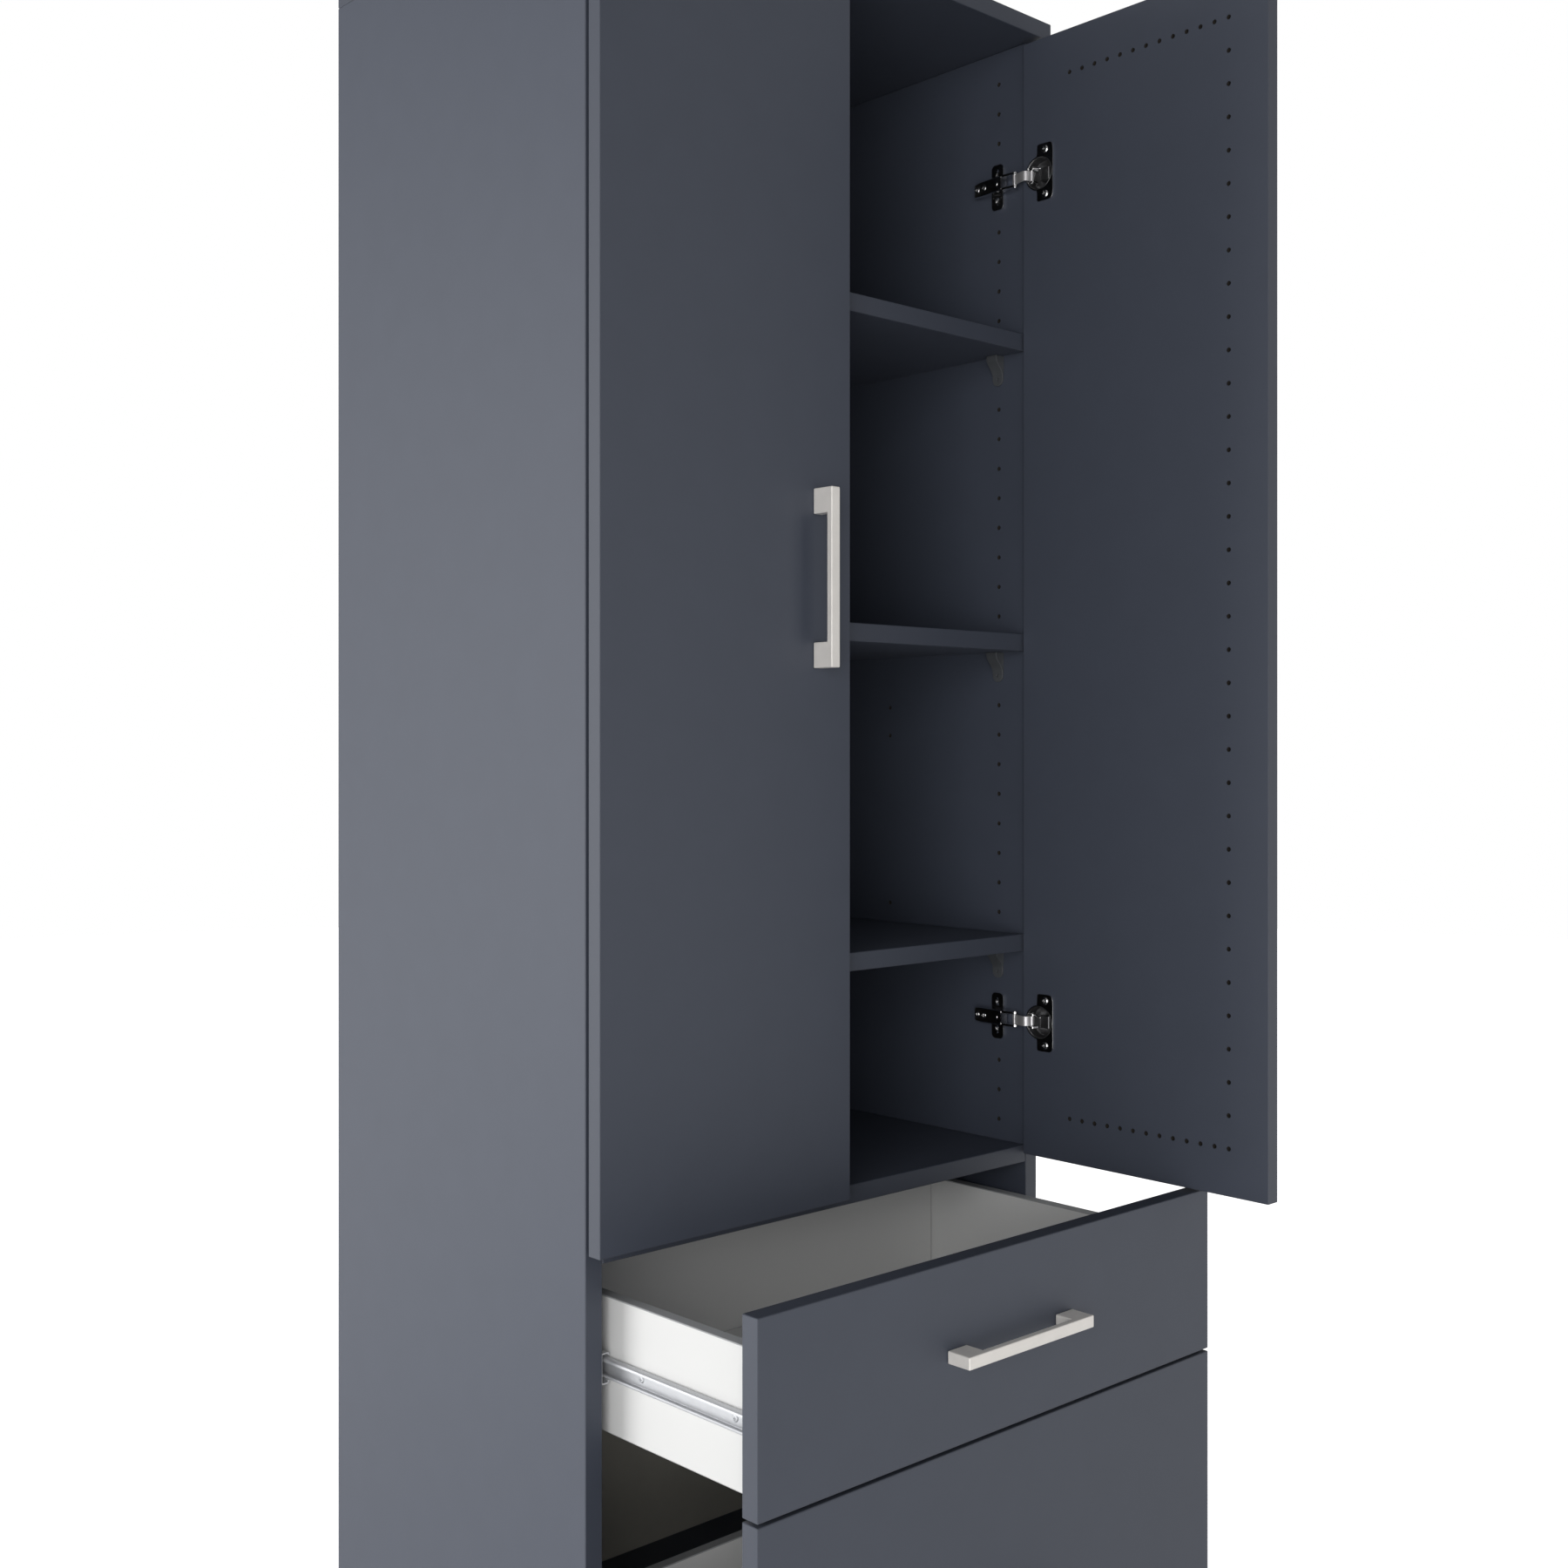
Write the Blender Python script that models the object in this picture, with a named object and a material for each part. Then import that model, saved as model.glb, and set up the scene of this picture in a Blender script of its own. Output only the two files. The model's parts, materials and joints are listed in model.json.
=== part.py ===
"""Pantry cabinet: carcass, three shelves on clip-in supports, two hinged doors and two drawers.

Sizes are millimetres until a mesh is made, which turns them into metres. +X is to the right,
-Y is the front and +Z is up. The design frame has x = 0 at the middle of the carcass, y = 0 at the
middle of its depth and z = 0 on the floor. The right door stands open and both drawers are pulled out.
"""

import math

import bmesh
import bpy
from mathutils import Matrix, Vector

MM = 0.001
FIT = 0.3                   # gap between pieces that touch

# Carcass
WIDTH = 600.0
HEIGHT = 1800.0
DEPTH = 420.0
BOARD = 18.0
EDGE_ROUND = 0.6
THIN_EDGE_ROUND = 0.3
TOP_OVERHANG = 20.0         # the top panel covers the doors' upper edges
PLINTH_HEIGHT = 89.0
PLINTH_SETBACK = 50.0
DRAWER_SPACE = 480.0        # clear height between the bottom and the middle panel
BACK_THICKNESS = 8.0
BACK_INSET = 10.0

# System drilling of the side panels
PITCH = 32.0
HOLE_RADIUS = 2.5
HOLE_DEPTH = 12.0
HOLE_SIDES = 8
PIN_SIDES = 12
ROW_SETBACK = 37.0          # from the front and the rear edge
ROW_BELOW_TOP = 35.0        # highest hole below the top panel
MIDDLE_SETBACK = 200.0      # the three middle holes, from the front edge
MIDDLE_HOLES_UP = (14, 13, 7)   # which they are, counted up from the lowest hole

# Shelves and their supports
SHELF_NAMES = ("upper", "middle", "lower")
SHELF_PLAY = 1.0
SUPPORT_WIDTH = 15.0
SUPPORT_ABOVE = 25.0        # from the hole to the shelf
SUPPORT_BELOW = 7.0
SUPPORT_PLATE = 2.5
SUPPORT_REACH = 12.5
SUPPORT_LEDGE = 2.2
PIN_LENGTH = 8.0
PIN_PLAY = 0.3

# Doors
DOOR_THICKNESS = 16.0
DOOR_GAP = 3.0              # door back to carcass front
DOOR_REVEAL = 1.0           # carcass edge left showing beside the door
DOOR_MIDDLE_GAP = 3.0       # between the two doors
DOOR_BELOW_TOP = 5.0
DOOR_LAP = 8.0              # how far the doors cover the middle panel's edge
DOOR_HOLE_DEPTH = 10.0
DOOR_COLUMN_INSET = 43.5
DOOR_COLUMN_END = 46.0
DOOR_ROW_PITCH = 16.0
DOOR_ROW_HOLES = 12         # beside the corner hole
OPEN_ANGLE = math.radians(90.0)

# Concealed hinges. u runs from the side panel into the cabinet, v forward of the carcass front,
# e from the door's hinge edge and n from its inner face outwards.
HINGE_HOLES_IN = (3, 4)     # the two holes of each mounting plate, counted from the end of the row
OPEN_U = 7.0                # inner face of the open door
OPEN_V = 2.5                # hinge edge of the open door
ARM_PIVOT_U = 8.0
ARM_PIVOT_V = -8.0
CUP_PIVOT_N = 2.5
HINGE_PIN_RADIUS = 1.5
HINGE_PIN_PLAY = 0.4
BARREL_RADIUS = 2.2
ARM_HALF = 8.0
ARM_SLOT_HALF = 5.6
ARM_REAR = 67.0
ARM_CREST = 13.2
ARM_TAIL = 7.0
ARM_NOSE = 3.4
ARM_LIFT = 2.2
WING_WIDTH = 16.0
WING_HEIGHT = 49.0
WING_THICKNESS = 2.8
WING_CORNER = 5.3
LINK_HALF = 5.2
LINK_THICKNESS = 2.4
LINK_ELBOWS = ((-3.0, 10.0), (-8.0, 17.0))   # bends of the closed link, from the arm pivot
CUP_RADIUS = 17.5
CUP_DEPTH = 12.0
CUP_WALL = 1.2
CUP_CENTRE = 22.5
CUP_SEGMENTS = 24
FLANGE_START = 20.0
FLANGE_MARGIN = 1.0         # beyond the cup, away from the door's edge
FLANGE_WING = 12.5          # beyond the cup, up and down
FLANGE_CORNER = 6.0
FLANGE_THICKNESS = 1.2
BOSS_INNER = 5.6
BOSS_OUTER = 7.8
BOSS_WIDTH = 5.8

# Bar handles
HANDLE_LENGTH = 168.0
HANDLE_FOOT = 24.0
HANDLE_WIDTH = 11.0
HANDLE_PROJECTION = 25.0
HANDLE_BAR = 6.7
HANDLE_ROUND = 1.0
HANDLE_INSET = 43.5         # from the door's free edge

# Drawers
FRONT_THICKNESS = 18.0
FRONT_REVEAL = 1.0
FRONT_GAP = 1.0             # closed front to carcass
FRONT_SPLIT = 3.0           # between two fronts, and between the upper one and the doors
UPPER_FRONT_HEIGHT = 157.0
BOX_HEIGHT = 118.0
BOX_WALL = 12.0
BOX_INNER_LENGTH = 312.0
BOX_BOTTOM = 4.0
BOX_BOTTOM_RAISE = 10.0
UPPER_BOX_RAISE = 0.0       # box above the lower edge of its own front
LOWER_BOX_RAISE = 34.0
RUNNER_GAP = 12.5
RUNNER_LENGTH = 300.0
RUNNER_METAL = 1.2
RUNNER_SETBACK = 2.0
OUTER_RUNNER_HALF = 13.5
OUTER_RUNNER_PLAY = 3.5     # from its flanges to the drawer
INNER_RUNNER_HALF = 8.5
INNER_RUNNER_PLAY = 4.5     # from its flanges to the side panel
PULLED_OUT = 198.0

# Places that follow
CARCASS_FRONT = -DEPTH / 2
CARCASS_REAR = DEPTH / 2
INNER_X = WIDTH / 2 - BOARD
TOP_Z = HEIGHT - BOARD
BOTTOM_Z = PLINTH_HEIGHT
MIDDLE_Z = BOTTOM_Z + BOARD + DRAWER_SPACE
BACK_FRONT = CARCASS_REAR - BACK_INSET - BACK_THICKNESS
ROW_HOLES = int((TOP_Z - ROW_BELOW_TOP - MIDDLE_Z - BOARD) / PITCH) + 1
SHELF_STEP = (ROW_HOLES + len(SHELF_NAMES) + 1) // (len(SHELF_NAMES) + 1)
HINGE_HOLES = (HINGE_HOLES_IN, tuple(ROW_HOLES - 1 - number for number in HINGE_HOLES_IN))
BORE_RADIUS = HINGE_PIN_RADIUS + HINGE_PIN_PLAY
DOOR_WIDTH = WIDTH / 2 - DOOR_REVEAL - DOOR_MIDDLE_GAP / 2
DOOR_BOTTOM = MIDDLE_Z + BOARD - DOOR_LAP
DOOR_TOP = TOP_Z - DOOR_BELOW_TOP
OVERLAY = BOARD - DOOR_REVEAL
FRONT_BACK = CARCASS_FRONT - FRONT_GAP
UPPER_FRONT_TOP = DOOR_BOTTOM - FRONT_SPLIT
UPPER_FRONT_BOTTOM = UPPER_FRONT_TOP - UPPER_FRONT_HEIGHT
BOX_OUTER_X = INNER_X - RUNNER_GAP

RIGHT, LEFT = 1, -1
SIDES = (("right", RIGHT), ("left", LEFT))
ROWS_Y = {"front": CARCASS_FRONT + ROW_SETBACK, "rear": CARCASS_REAR - ROW_SETBACK}

PAINTS = {
    "anthracite_board": ((0.085, 0.092, 0.108), 0.5, 0.0),
    "grey_back_board": ((0.05, 0.047, 0.04), 0.6, 0.0),
    "white_board": ((0.83, 0.83, 0.82), 0.45, 0.0),
    "brushed_nickel": ((0.6, 0.57, 0.52), 0.32, 1.0),
    "polished_nickel": ((0.62, 0.62, 0.62), 0.2, 1.0),
    "zinc_steel": ((0.5, 0.51, 0.53), 0.35, 1.0),
    "dark_plastic": ((0.05, 0.052, 0.056), 0.45, 0.0),
}


def hole_height(number):
    """Height of a system hole, counted from the highest one, which is 0."""
    return TOP_Z - ROW_BELOW_TOP - PITCH * number


def link_geometry():
    """Where the link meets the cup, the ratio of its turn to the door's, and its closed direction.

    The cup pivot lies at the distance from the door's edge that makes the link equally long with the
    door closed and with the door open.
    """
    across = OVERLAY + ARM_PIVOT_U
    ahead = OPEN_V - ARM_PIVOT_V
    closed_rise = DOOR_GAP + CUP_PIVOT_N - ARM_PIVOT_V
    open_side = OPEN_U - CUP_PIVOT_N - ARM_PIVOT_U
    pivot_e = (across**2 + closed_rise**2 - open_side**2 - ahead**2) / (2 * (across + ahead))
    closed = Vector((pivot_e - across, closed_rise))
    opened = Vector((open_side, ahead + pivot_e))
    turn = math.atan2(opened.y, opened.x) - math.atan2(closed.y, closed.x)
    return pivot_e, turn / OPEN_ANGLE, closed


CUP_PIVOT_E, LINK_RATIO, CLOSED_LINK = link_geometry()


# Meshes

def mesh_of(shape, name):
    """The bmesh as a mesh in metres, with its faces pointing out."""
    bmesh.ops.recalc_face_normals(shape, faces=shape.faces)
    bmesh.ops.scale(shape, vec=(MM, MM, MM), verts=shape.verts)
    mesh = bpy.data.meshes.new(name)
    shape.to_mesh(mesh)
    shape.free()
    return mesh


def add_box(shape, low, high):
    """Adds a box between two corners to the bmesh."""
    low, high = Vector(low), Vector(high)
    size = [abs(side) for side in high - low]
    place = Matrix.Translation((low + high) / 2) @ Matrix.Diagonal((*size, 1))
    bmesh.ops.create_cube(shape, size=1, matrix=place)


def box(name, low, high):
    shape = bmesh.new()
    add_box(shape, low, high)
    return mesh_of(shape, name)


def add_cylinder(shape, start, end, radius, sides):
    """Adds a closed cylinder between two points to the bmesh."""
    start, end = Vector(start), Vector(end)
    turn = (end - start).to_track_quat("Z", "Y").to_matrix().to_4x4()
    place = Matrix.Translation((start + end) / 2) @ turn
    bmesh.ops.create_cone(shape, cap_ends=True, segments=sides, radius1=radius, radius2=radius,
                          depth=(end - start).length, matrix=place)


def cylinder(name, start, end, radius, sides):
    shape = bmesh.new()
    add_cylinder(shape, start, end, radius, sides)
    return mesh_of(shape, name)


def extrusion(name, outline, start, end, place):
    """A flat outline drawn out from start to end; place turns (a, b, along) into x, y, z."""
    shape = bmesh.new()
    near = [shape.verts.new(place(a, b, start)) for a, b in outline]
    far = [shape.verts.new(place(a, b, end)) for a, b in outline]
    shape.faces.new(near)
    shape.faces.new(far[::-1])
    for i, corner in enumerate(near):
        shape.faces.new((corner, near[i - 1], far[i - 1], far[i]))
    return mesh_of(shape, name)


def arc(centre, radius, start, end, steps):
    """Points along an arc, from one angle to another in degrees."""
    angles = [math.radians(start + (end - start) * i / steps) for i in range(steps + 1)]
    return [(centre[0] + radius * math.cos(a), centre[1] + radius * math.sin(a)) for a in angles]


def rounded_rectangle(low, high, radius, steps=2):
    """A rectangle's outline with its four corners rounded."""
    corners = ((high[0] - radius, high[1] - radius, 0), (low[0] + radius, high[1] - radius, 90),
               (low[0] + radius, low[1] + radius, 180), (high[0] - radius, low[1] + radius, 270))
    return [point for x, y, a in corners for point in arc((x, y), radius, a, a + 90, steps)]


# Objects

def paint(name):
    """The named material, made the first time it is asked for."""
    if name in bpy.data.materials:
        return bpy.data.materials[name]
    colour, roughness, metallic = PAINTS[name]
    material = bpy.data.materials.new(name)
    material.use_nodes = True
    shader = material.node_tree.nodes["Principled BSDF"]
    shader.inputs["Base Color"].default_value = (*colour, 1)
    shader.inputs["Roughness"].default_value = roughness
    shader.inputs["Metallic"].default_value = metallic
    material.diffuse_color = (*colour, 1)
    return material


def place_object(name, mesh, parent, location=(0, 0, 0), turn=0.0):
    obj = bpy.data.objects.new(name, mesh)
    bpy.context.scene.collection.objects.link(obj)
    obj.location = Vector(location) * MM
    obj.rotation_euler.z = turn
    obj.parent = parent
    return obj


def piece(name, mesh, finish, parent, location=(0, 0, 0), turn=0.0):
    """One sub-part: the mesh as a named object with its material."""
    obj = place_object(name, mesh, parent, location, turn)
    if not mesh.materials:
        mesh.materials.append(paint(finish))
    return obj


def round_edges(obj, width):
    bevel = obj.modifiers.new("rounded_edges", "BEVEL")
    bevel.width = width * MM
    bevel.segments = 1
    bevel.limit_method = "ANGLE"


def cut(obj, tool_mesh):
    """Cuts the tool out of the object and keeps the tool as a hidden wire helper."""
    tool = place_object(obj.name + "_cutter", tool_mesh, obj.parent, obj.location / MM)
    tool.hide_render = True
    tool.display_type = "WIRE"
    boolean = obj.modifiers.new("drilling", "BOOLEAN")
    boolean.operation = "DIFFERENCE"
    boolean.object = tool


def combined(name, first, *steps):
    """One closed mesh from a first mesh and ("UNION" or "DIFFERENCE", mesh) steps, smooth on its rounds."""
    base = place_object(name + "_base", first, None)
    tools = []
    for operation, mesh in steps:
        tool = place_object(name + "_tool", mesh, None)
        tools.append(tool)
        boolean = base.modifiers.new(operation.lower(), "BOOLEAN")
        boolean.operation = operation
        boolean.object = tool
    bpy.context.view_layer.update()
    graph = bpy.context.evaluated_depsgraph_get()
    mesh = bpy.data.meshes.new_from_object(base.evaluated_get(graph))
    mesh.name = name
    for helper in [base, *tools]:
        bpy.data.objects.remove(helper)
    smooth(mesh)
    return mesh


def smooth(mesh):
    mesh.shade_smooth()
    mesh.set_sharp_from_angle(angle=math.radians(30))


def empty(name, parent, location=(0, 0, 0), turn=0.0):
    return place_object(name, None, parent, location, turn)


def board(name, low, high, parent, finish="anthracite_board", edge=EDGE_ROUND):
    obj = piece(name, box(name, low, high), finish, parent)
    round_edges(obj, edge)
    return obj


# Carcass

def side_drilling(hand):
    """Blind holes in a side panel's inner face: two full rows and three in the middle."""
    shape = bmesh.new()
    places = [(y, number) for y in ROWS_Y.values() for number in range(ROW_HOLES)]
    places += [(CARCASS_FRONT + MIDDLE_SETBACK, ROW_HOLES - 1 - up) for up in MIDDLE_HOLES_UP]
    for y, number in places:
        z = hole_height(number)
        add_cylinder(shape, (hand * (INNER_X - BOARD), y, z), (hand * (INNER_X + HOLE_DEPTH), y, z),
                     HOLE_RADIUS, HOLE_SIDES)
    return mesh_of(shape, "side_drilling")


def build_carcass(frame):
    for side, hand in SIDES:
        outer, inner = hand * WIDTH / 2, hand * INNER_X
        low, high = (outer, CARCASS_FRONT, 0), (inner, CARCASS_REAR, TOP_Z - FIT)
        panel = board("side_panel_" + side, low, high, frame)
        cut(panel, side_drilling(hand))
    top_front = CARCASS_FRONT - TOP_OVERHANG
    board("top_panel", (-WIDTH / 2, top_front, TOP_Z), (WIDTH / 2, CARCASS_REAR, HEIGHT), frame)
    inside = INNER_X - FIT
    rear = BACK_FRONT - FIT
    for name, z in (("bottom_panel", BOTTOM_Z), ("middle_panel", MIDDLE_Z)):
        board(name, (-inside, CARCASS_FRONT, z), (inside, rear, z + BOARD), frame)
    board("back_panel", (-inside, BACK_FRONT, BOTTOM_Z), (inside, BACK_FRONT + BACK_THICKNESS, TOP_Z - FIT),
          frame, "grey_back_board")
    plinth_y = CARCASS_FRONT + PLINTH_SETBACK
    board("plinth", (-inside, plinth_y, 0), (inside, plinth_y + BOARD, PLINTH_HEIGHT - FIT), frame)


# Shelves and supports

def support_mesh():
    """A clip-in support on the left side panel: plate, ledge with a hollowed gusset, and pin."""
    top = SUPPORT_ABOVE - FIT
    hollow = arc((1, 0), 1, 180, 90, 4)
    rise = top - SUPPORT_LEDGE - SUPPORT_BELOW
    gusset = [(FIT + SUPPORT_PLATE + x * (SUPPORT_REACH - SUPPORT_PLATE), SUPPORT_BELOW + y * rise)
              for x, y in hollow]
    outline = [(FIT, -SUPPORT_BELOW), (FIT + SUPPORT_PLATE, -SUPPORT_BELOW), *gusset,
               (FIT + SUPPORT_REACH, top), (FIT, top)]
    half = SUPPORT_WIDTH / 2
    plate = extrusion("plate", outline, -half, half, lambda a, b, along: (a, along, b))
    pin_end = (FIT + SUPPORT_PLATE / 2, 0, 0)
    pin = cylinder("pin", (-PIN_LENGTH, 0, 0), pin_end, HOLE_RADIUS - PIN_PLAY, HOLE_SIDES)
    return combined("shelf_support", plate, ("UNION", pin))


def build_shelves(frame):
    support = support_mesh()
    half = INNER_X - SHELF_PLAY
    for order, shelf in enumerate(SHELF_NAMES, start=1):
        z = hole_height(SHELF_STEP * order)
        board("shelf_" + shelf, (-half, CARCASS_FRONT, z + SUPPORT_ABOVE),
              (half, BACK_FRONT - SHELF_PLAY, z + SUPPORT_ABOVE + BOARD), frame)
        for side, hand in SIDES:
            for row, y in ROWS_Y.items():
                piece(f"support_{shelf}_{side}_{row}", support, "dark_plastic", frame, (hand * INNER_X, y, z),
                      math.pi if hand == RIGHT else 0.0)


# Handles

def handle_mesh():
    """A bar on two feet: length along Z, standing out along -Y from y = 0."""
    half, inner = HANDLE_LENGTH / 2, HANDLE_LENGTH / 2 - HANDLE_FOOT
    reach, under = HANDLE_PROJECTION, HANDLE_PROJECTION - HANDLE_BAR
    outline = [(-half, FIT), (-half, reach), (half, reach), (half, FIT), (inner, FIT), (inner, under),
               (-inner, under), (-inner, FIT)]
    across = HANDLE_WIDTH / 2
    return extrusion("bar_handle", outline, -across, across, lambda a, b, along: (along, -b, a))


def add_handle(name, mesh, parent, location, level=False):
    obj = piece(name, mesh, "brushed_nickel", parent, location)
    obj.rotation_euler.y = math.pi / 2 if level else 0.0
    round_edges(obj, HANDLE_ROUND)


# Hinges

def hinge_arm_mesh(hand):
    """Mounting plate with wings and the forked arm on it, from the side panel's front inner edge."""
    def in_carcass(v, u, along):
        return (-hand * u, -v, along)

    pivot = (ARM_PIVOT_V, ARM_PIVOT_U)
    shoulder = -ROW_SETBACK + WING_WIDTH
    hump = (ARM_CREST - ARM_REAR - ARM_TAIL, ARM_CREST - ARM_LIFT)
    outline = [(-ARM_REAR, ARM_LIFT), (-ARM_REAR, ARM_TAIL), hump, (shoulder, ARM_CREST),
               *arc(pivot, ARM_NOSE, 100, -100, 8), (shoulder, ARM_LIFT)]
    arm = extrusion("arm", outline, -ARM_HALF, ARM_HALF, in_carcass)
    wing_outline = rounded_rectangle((-ROW_SETBACK - WING_WIDTH / 2, -WING_HEIGHT / 2),
                                     (-ROW_SETBACK + WING_WIDTH / 2, WING_HEIGHT / 2), WING_CORNER)
    wings = extrusion("wings", wing_outline, FIT, FIT + WING_THICKNESS,
                      lambda a, b, along: (-hand * along, -a, b))
    slot = box("slot", in_carcass(shoulder - ARM_NOSE, -ARM_NOSE, -ARM_SLOT_HALF),
               in_carcass(ARM_NOSE, ARM_CREST + ARM_NOSE, ARM_SLOT_HALF))
    bore = cylinder("bore", in_carcass(*pivot, -2 * ARM_HALF), in_carcass(*pivot, 2 * ARM_HALF),
                    BORE_RADIUS, PIN_SIDES)
    return combined("hinge_arm", arm, ("UNION", wings), ("DIFFERENCE", slot), ("DIFFERENCE", bore))


def link_outline():
    """The link as a bent strip of even thickness along its centre line, from one pivot to the other."""
    centre = [Vector((0, 0)), *(Vector(elbow) for elbow in LINK_ELBOWS), CLOSED_LINK]
    sides = ([], [])
    for i, point in enumerate(centre):
        into = (point - centre[i - 1]).normalized() if i else (centre[1] - point).normalized()
        out = (centre[i + 1] - point).normalized() if i + 1 < len(centre) else into
        mean = (into + out).normalized()
        normal = Vector((-mean.y, mean.x)) * LINK_THICKNESS / 2 / mean.dot(out)
        sides[0].append(point + normal)
        sides[1].append(point - normal)
    return [tuple(point) for point in sides[0] + sides[1][::-1]]


def link_mesh(hand):
    """A link with a barrel and a pin at each end, from its pivot on the arm, with the door closed."""
    def from_arm(u, v, along):
        return (-hand * u, -v, along)

    strip = extrusion("strip", link_outline(), -LINK_HALF, LINK_HALF, from_arm)
    steps = []
    for end, barrel, pin in (((0, 0), ARM_SLOT_HALF - FIT, ARM_HALF - FIT),
                             (tuple(CLOSED_LINK), BOSS_INNER - FIT, BOSS_OUTER - 2 * FIT)):
        for half, radius in ((barrel, BARREL_RADIUS), (pin, HINGE_PIN_RADIUS)):
            tool = cylinder("barrel", from_arm(*end, -half), from_arm(*end, half), radius, PIN_SIDES)
            steps.append(("UNION", tool))
    return combined("hinge_link", strip, *steps)


def door_point(hand, e, n, z=0.0):
    """A point of a door, from its cup pivot; e from the hinge edge, n outwards from the inner face."""
    return (-hand * (e - CUP_PIVOT_E), -(n - CUP_PIVOT_N), z)


def cup_mesh(hand):
    """The cup with its flange, open towards the cabinet, and two bosses that hold the link's pin."""
    def on_door(e, n, z):
        return door_point(hand, e, n, z)

    shell = cylinder("shell", on_door(CUP_CENTRE, 0, 0), on_door(CUP_CENTRE, CUP_DEPTH, 0),
                     CUP_RADIUS, CUP_SEGMENTS)
    rise = CUP_RADIUS + FLANGE_WING
    end = CUP_CENTRE + CUP_RADIUS + FLANGE_MARGIN
    outline = rounded_rectangle((FLANGE_START, -rise), (end, rise), FLANGE_CORNER)
    flange = extrusion("flange", outline, -FLANGE_THICKNESS - FIT, -FIT,
                       lambda a, b, along: on_door(a, along, b))
    rim = cylinder("rim", on_door(CUP_CENTRE, -FLANGE_THICKNESS, 0), on_door(CUP_CENTRE, CUP_WALL, 0),
                   CUP_RADIUS - FIT, CUP_SEGMENTS)
    hollow = cylinder("hollow", on_door(CUP_CENTRE, -CUP_DEPTH, 0),
                      on_door(CUP_CENTRE, CUP_DEPTH - CUP_WALL, 0), CUP_RADIUS - CUP_WALL, CUP_SEGMENTS)
    steps = [("UNION", rim), ("UNION", flange), ("DIFFERENCE", hollow)]
    start = CUP_PIVOT_E - HINGE_PIN_RADIUS - 2 * HINGE_PIN_PLAY
    for low, high in ((BOSS_INNER, BOSS_OUTER), (-BOSS_OUTER, -BOSS_INNER)):
        boss = box("boss", on_door(start, -FLANGE_THICKNESS / 2, low),
                   on_door(start + BOSS_WIDTH, CUP_DEPTH - CUP_WALL / 2, high))
        steps.append(("UNION", boss))
    notch = LINK_HALF + HINGE_PIN_PLAY
    steps.append(("DIFFERENCE", box("notch", on_door(0, -CUP_DEPTH, -notch),
                                    on_door(CUP_PIVOT_E, LINK_THICKNESS / 2, notch))))
    half = BOSS_OUTER - FIT
    steps.append(("DIFFERENCE", cylinder("bore", on_door(CUP_PIVOT_E, CUP_PIVOT_N, -half),
                                         on_door(CUP_PIVOT_E, CUP_PIVOT_N, half),
                                         BORE_RADIUS, PIN_SIDES)))
    return combined("hinge_cup", shell, *steps)


def hinge_height(holes):
    return sum(hole_height(number) for number in holes) / len(holes)


# Doors

def door_drilling(hand):
    """Blind holes in a door's inner face and its two cup pockets."""
    shape = bmesh.new()
    corner = DOOR_WIDTH - DOOR_COLUMN_INSET
    low, high = DOOR_BOTTOM + DOOR_COLUMN_END, DOOR_TOP - DOOR_COLUMN_END
    count = int((high - low) / PITCH + 0.001) + 1
    places = [(corner, low + PITCH * i) for i in range(count)]
    top = places[-1][1]
    places += [(corner - DOOR_ROW_PITCH * (i + 1), z) for i in range(DOOR_ROW_HOLES) for z in (low, top)]
    for e, z in places:
        add_cylinder(shape, door_point(hand, e, -DOOR_GAP, z), door_point(hand, e, DOOR_HOLE_DEPTH, z),
                     HOLE_RADIUS, HOLE_SIDES)
    for holes in HINGE_HOLES:
        z = hinge_height(holes)
        add_cylinder(shape, door_point(hand, CUP_CENTRE, -DOOR_GAP, z),
                     door_point(hand, CUP_CENTRE, CUP_DEPTH + FIT, z), CUP_RADIUS + FIT, CUP_SEGMENTS)
    return mesh_of(shape, "door_drilling")


def build_door(frame, side, hand, handle, angle):
    """A door on its two hinges, turned open by the angle."""
    arm_place = (hand * (INNER_X - ARM_PIVOT_U), CARCASS_FRONT - ARM_PIVOT_V)
    arm, link, cup = hinge_arm_mesh(hand), link_mesh(hand), cup_mesh(hand)
    link_turn = hand * LINK_RATIO * angle
    for level, holes in zip(("upper", "lower"), HINGE_HOLES):
        z = hinge_height(holes)
        piece(f"hinge_arm_{side}_{level}", arm, "polished_nickel", frame, (hand * INNER_X, CARCASS_FRONT, z))
        piece(f"hinge_link_{side}_{level}", link, "polished_nickel", frame, (*arm_place, z), link_turn)
    link_axis = empty(f"link_axis_{side}", frame, (*arm_place, 0), link_turn)
    door_axis = empty(f"door_axis_{side}", link_axis, (-hand * CLOSED_LINK.x, -CLOSED_LINK.y, 0),
                      hand * (1 - LINK_RATIO) * angle)
    low, high = door_point(hand, 0, 0, DOOR_BOTTOM), door_point(hand, DOOR_WIDTH, DOOR_THICKNESS, DOOR_TOP)
    panel = board("door_" + side, low, high, door_axis)
    cut(panel, door_drilling(hand))
    for level, holes in zip(("upper", "lower"), HINGE_HOLES):
        piece(f"hinge_cup_{side}_{level}", cup, "polished_nickel", door_axis, (0, 0, hinge_height(holes)))
    add_handle("handle_door_" + side, handle, door_axis,
               door_point(hand, DOOR_WIDTH - HANDLE_INSET, DOOR_THICKNESS, (DOOR_BOTTOM + DOOR_TOP) / 2))


# Drawers

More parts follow.
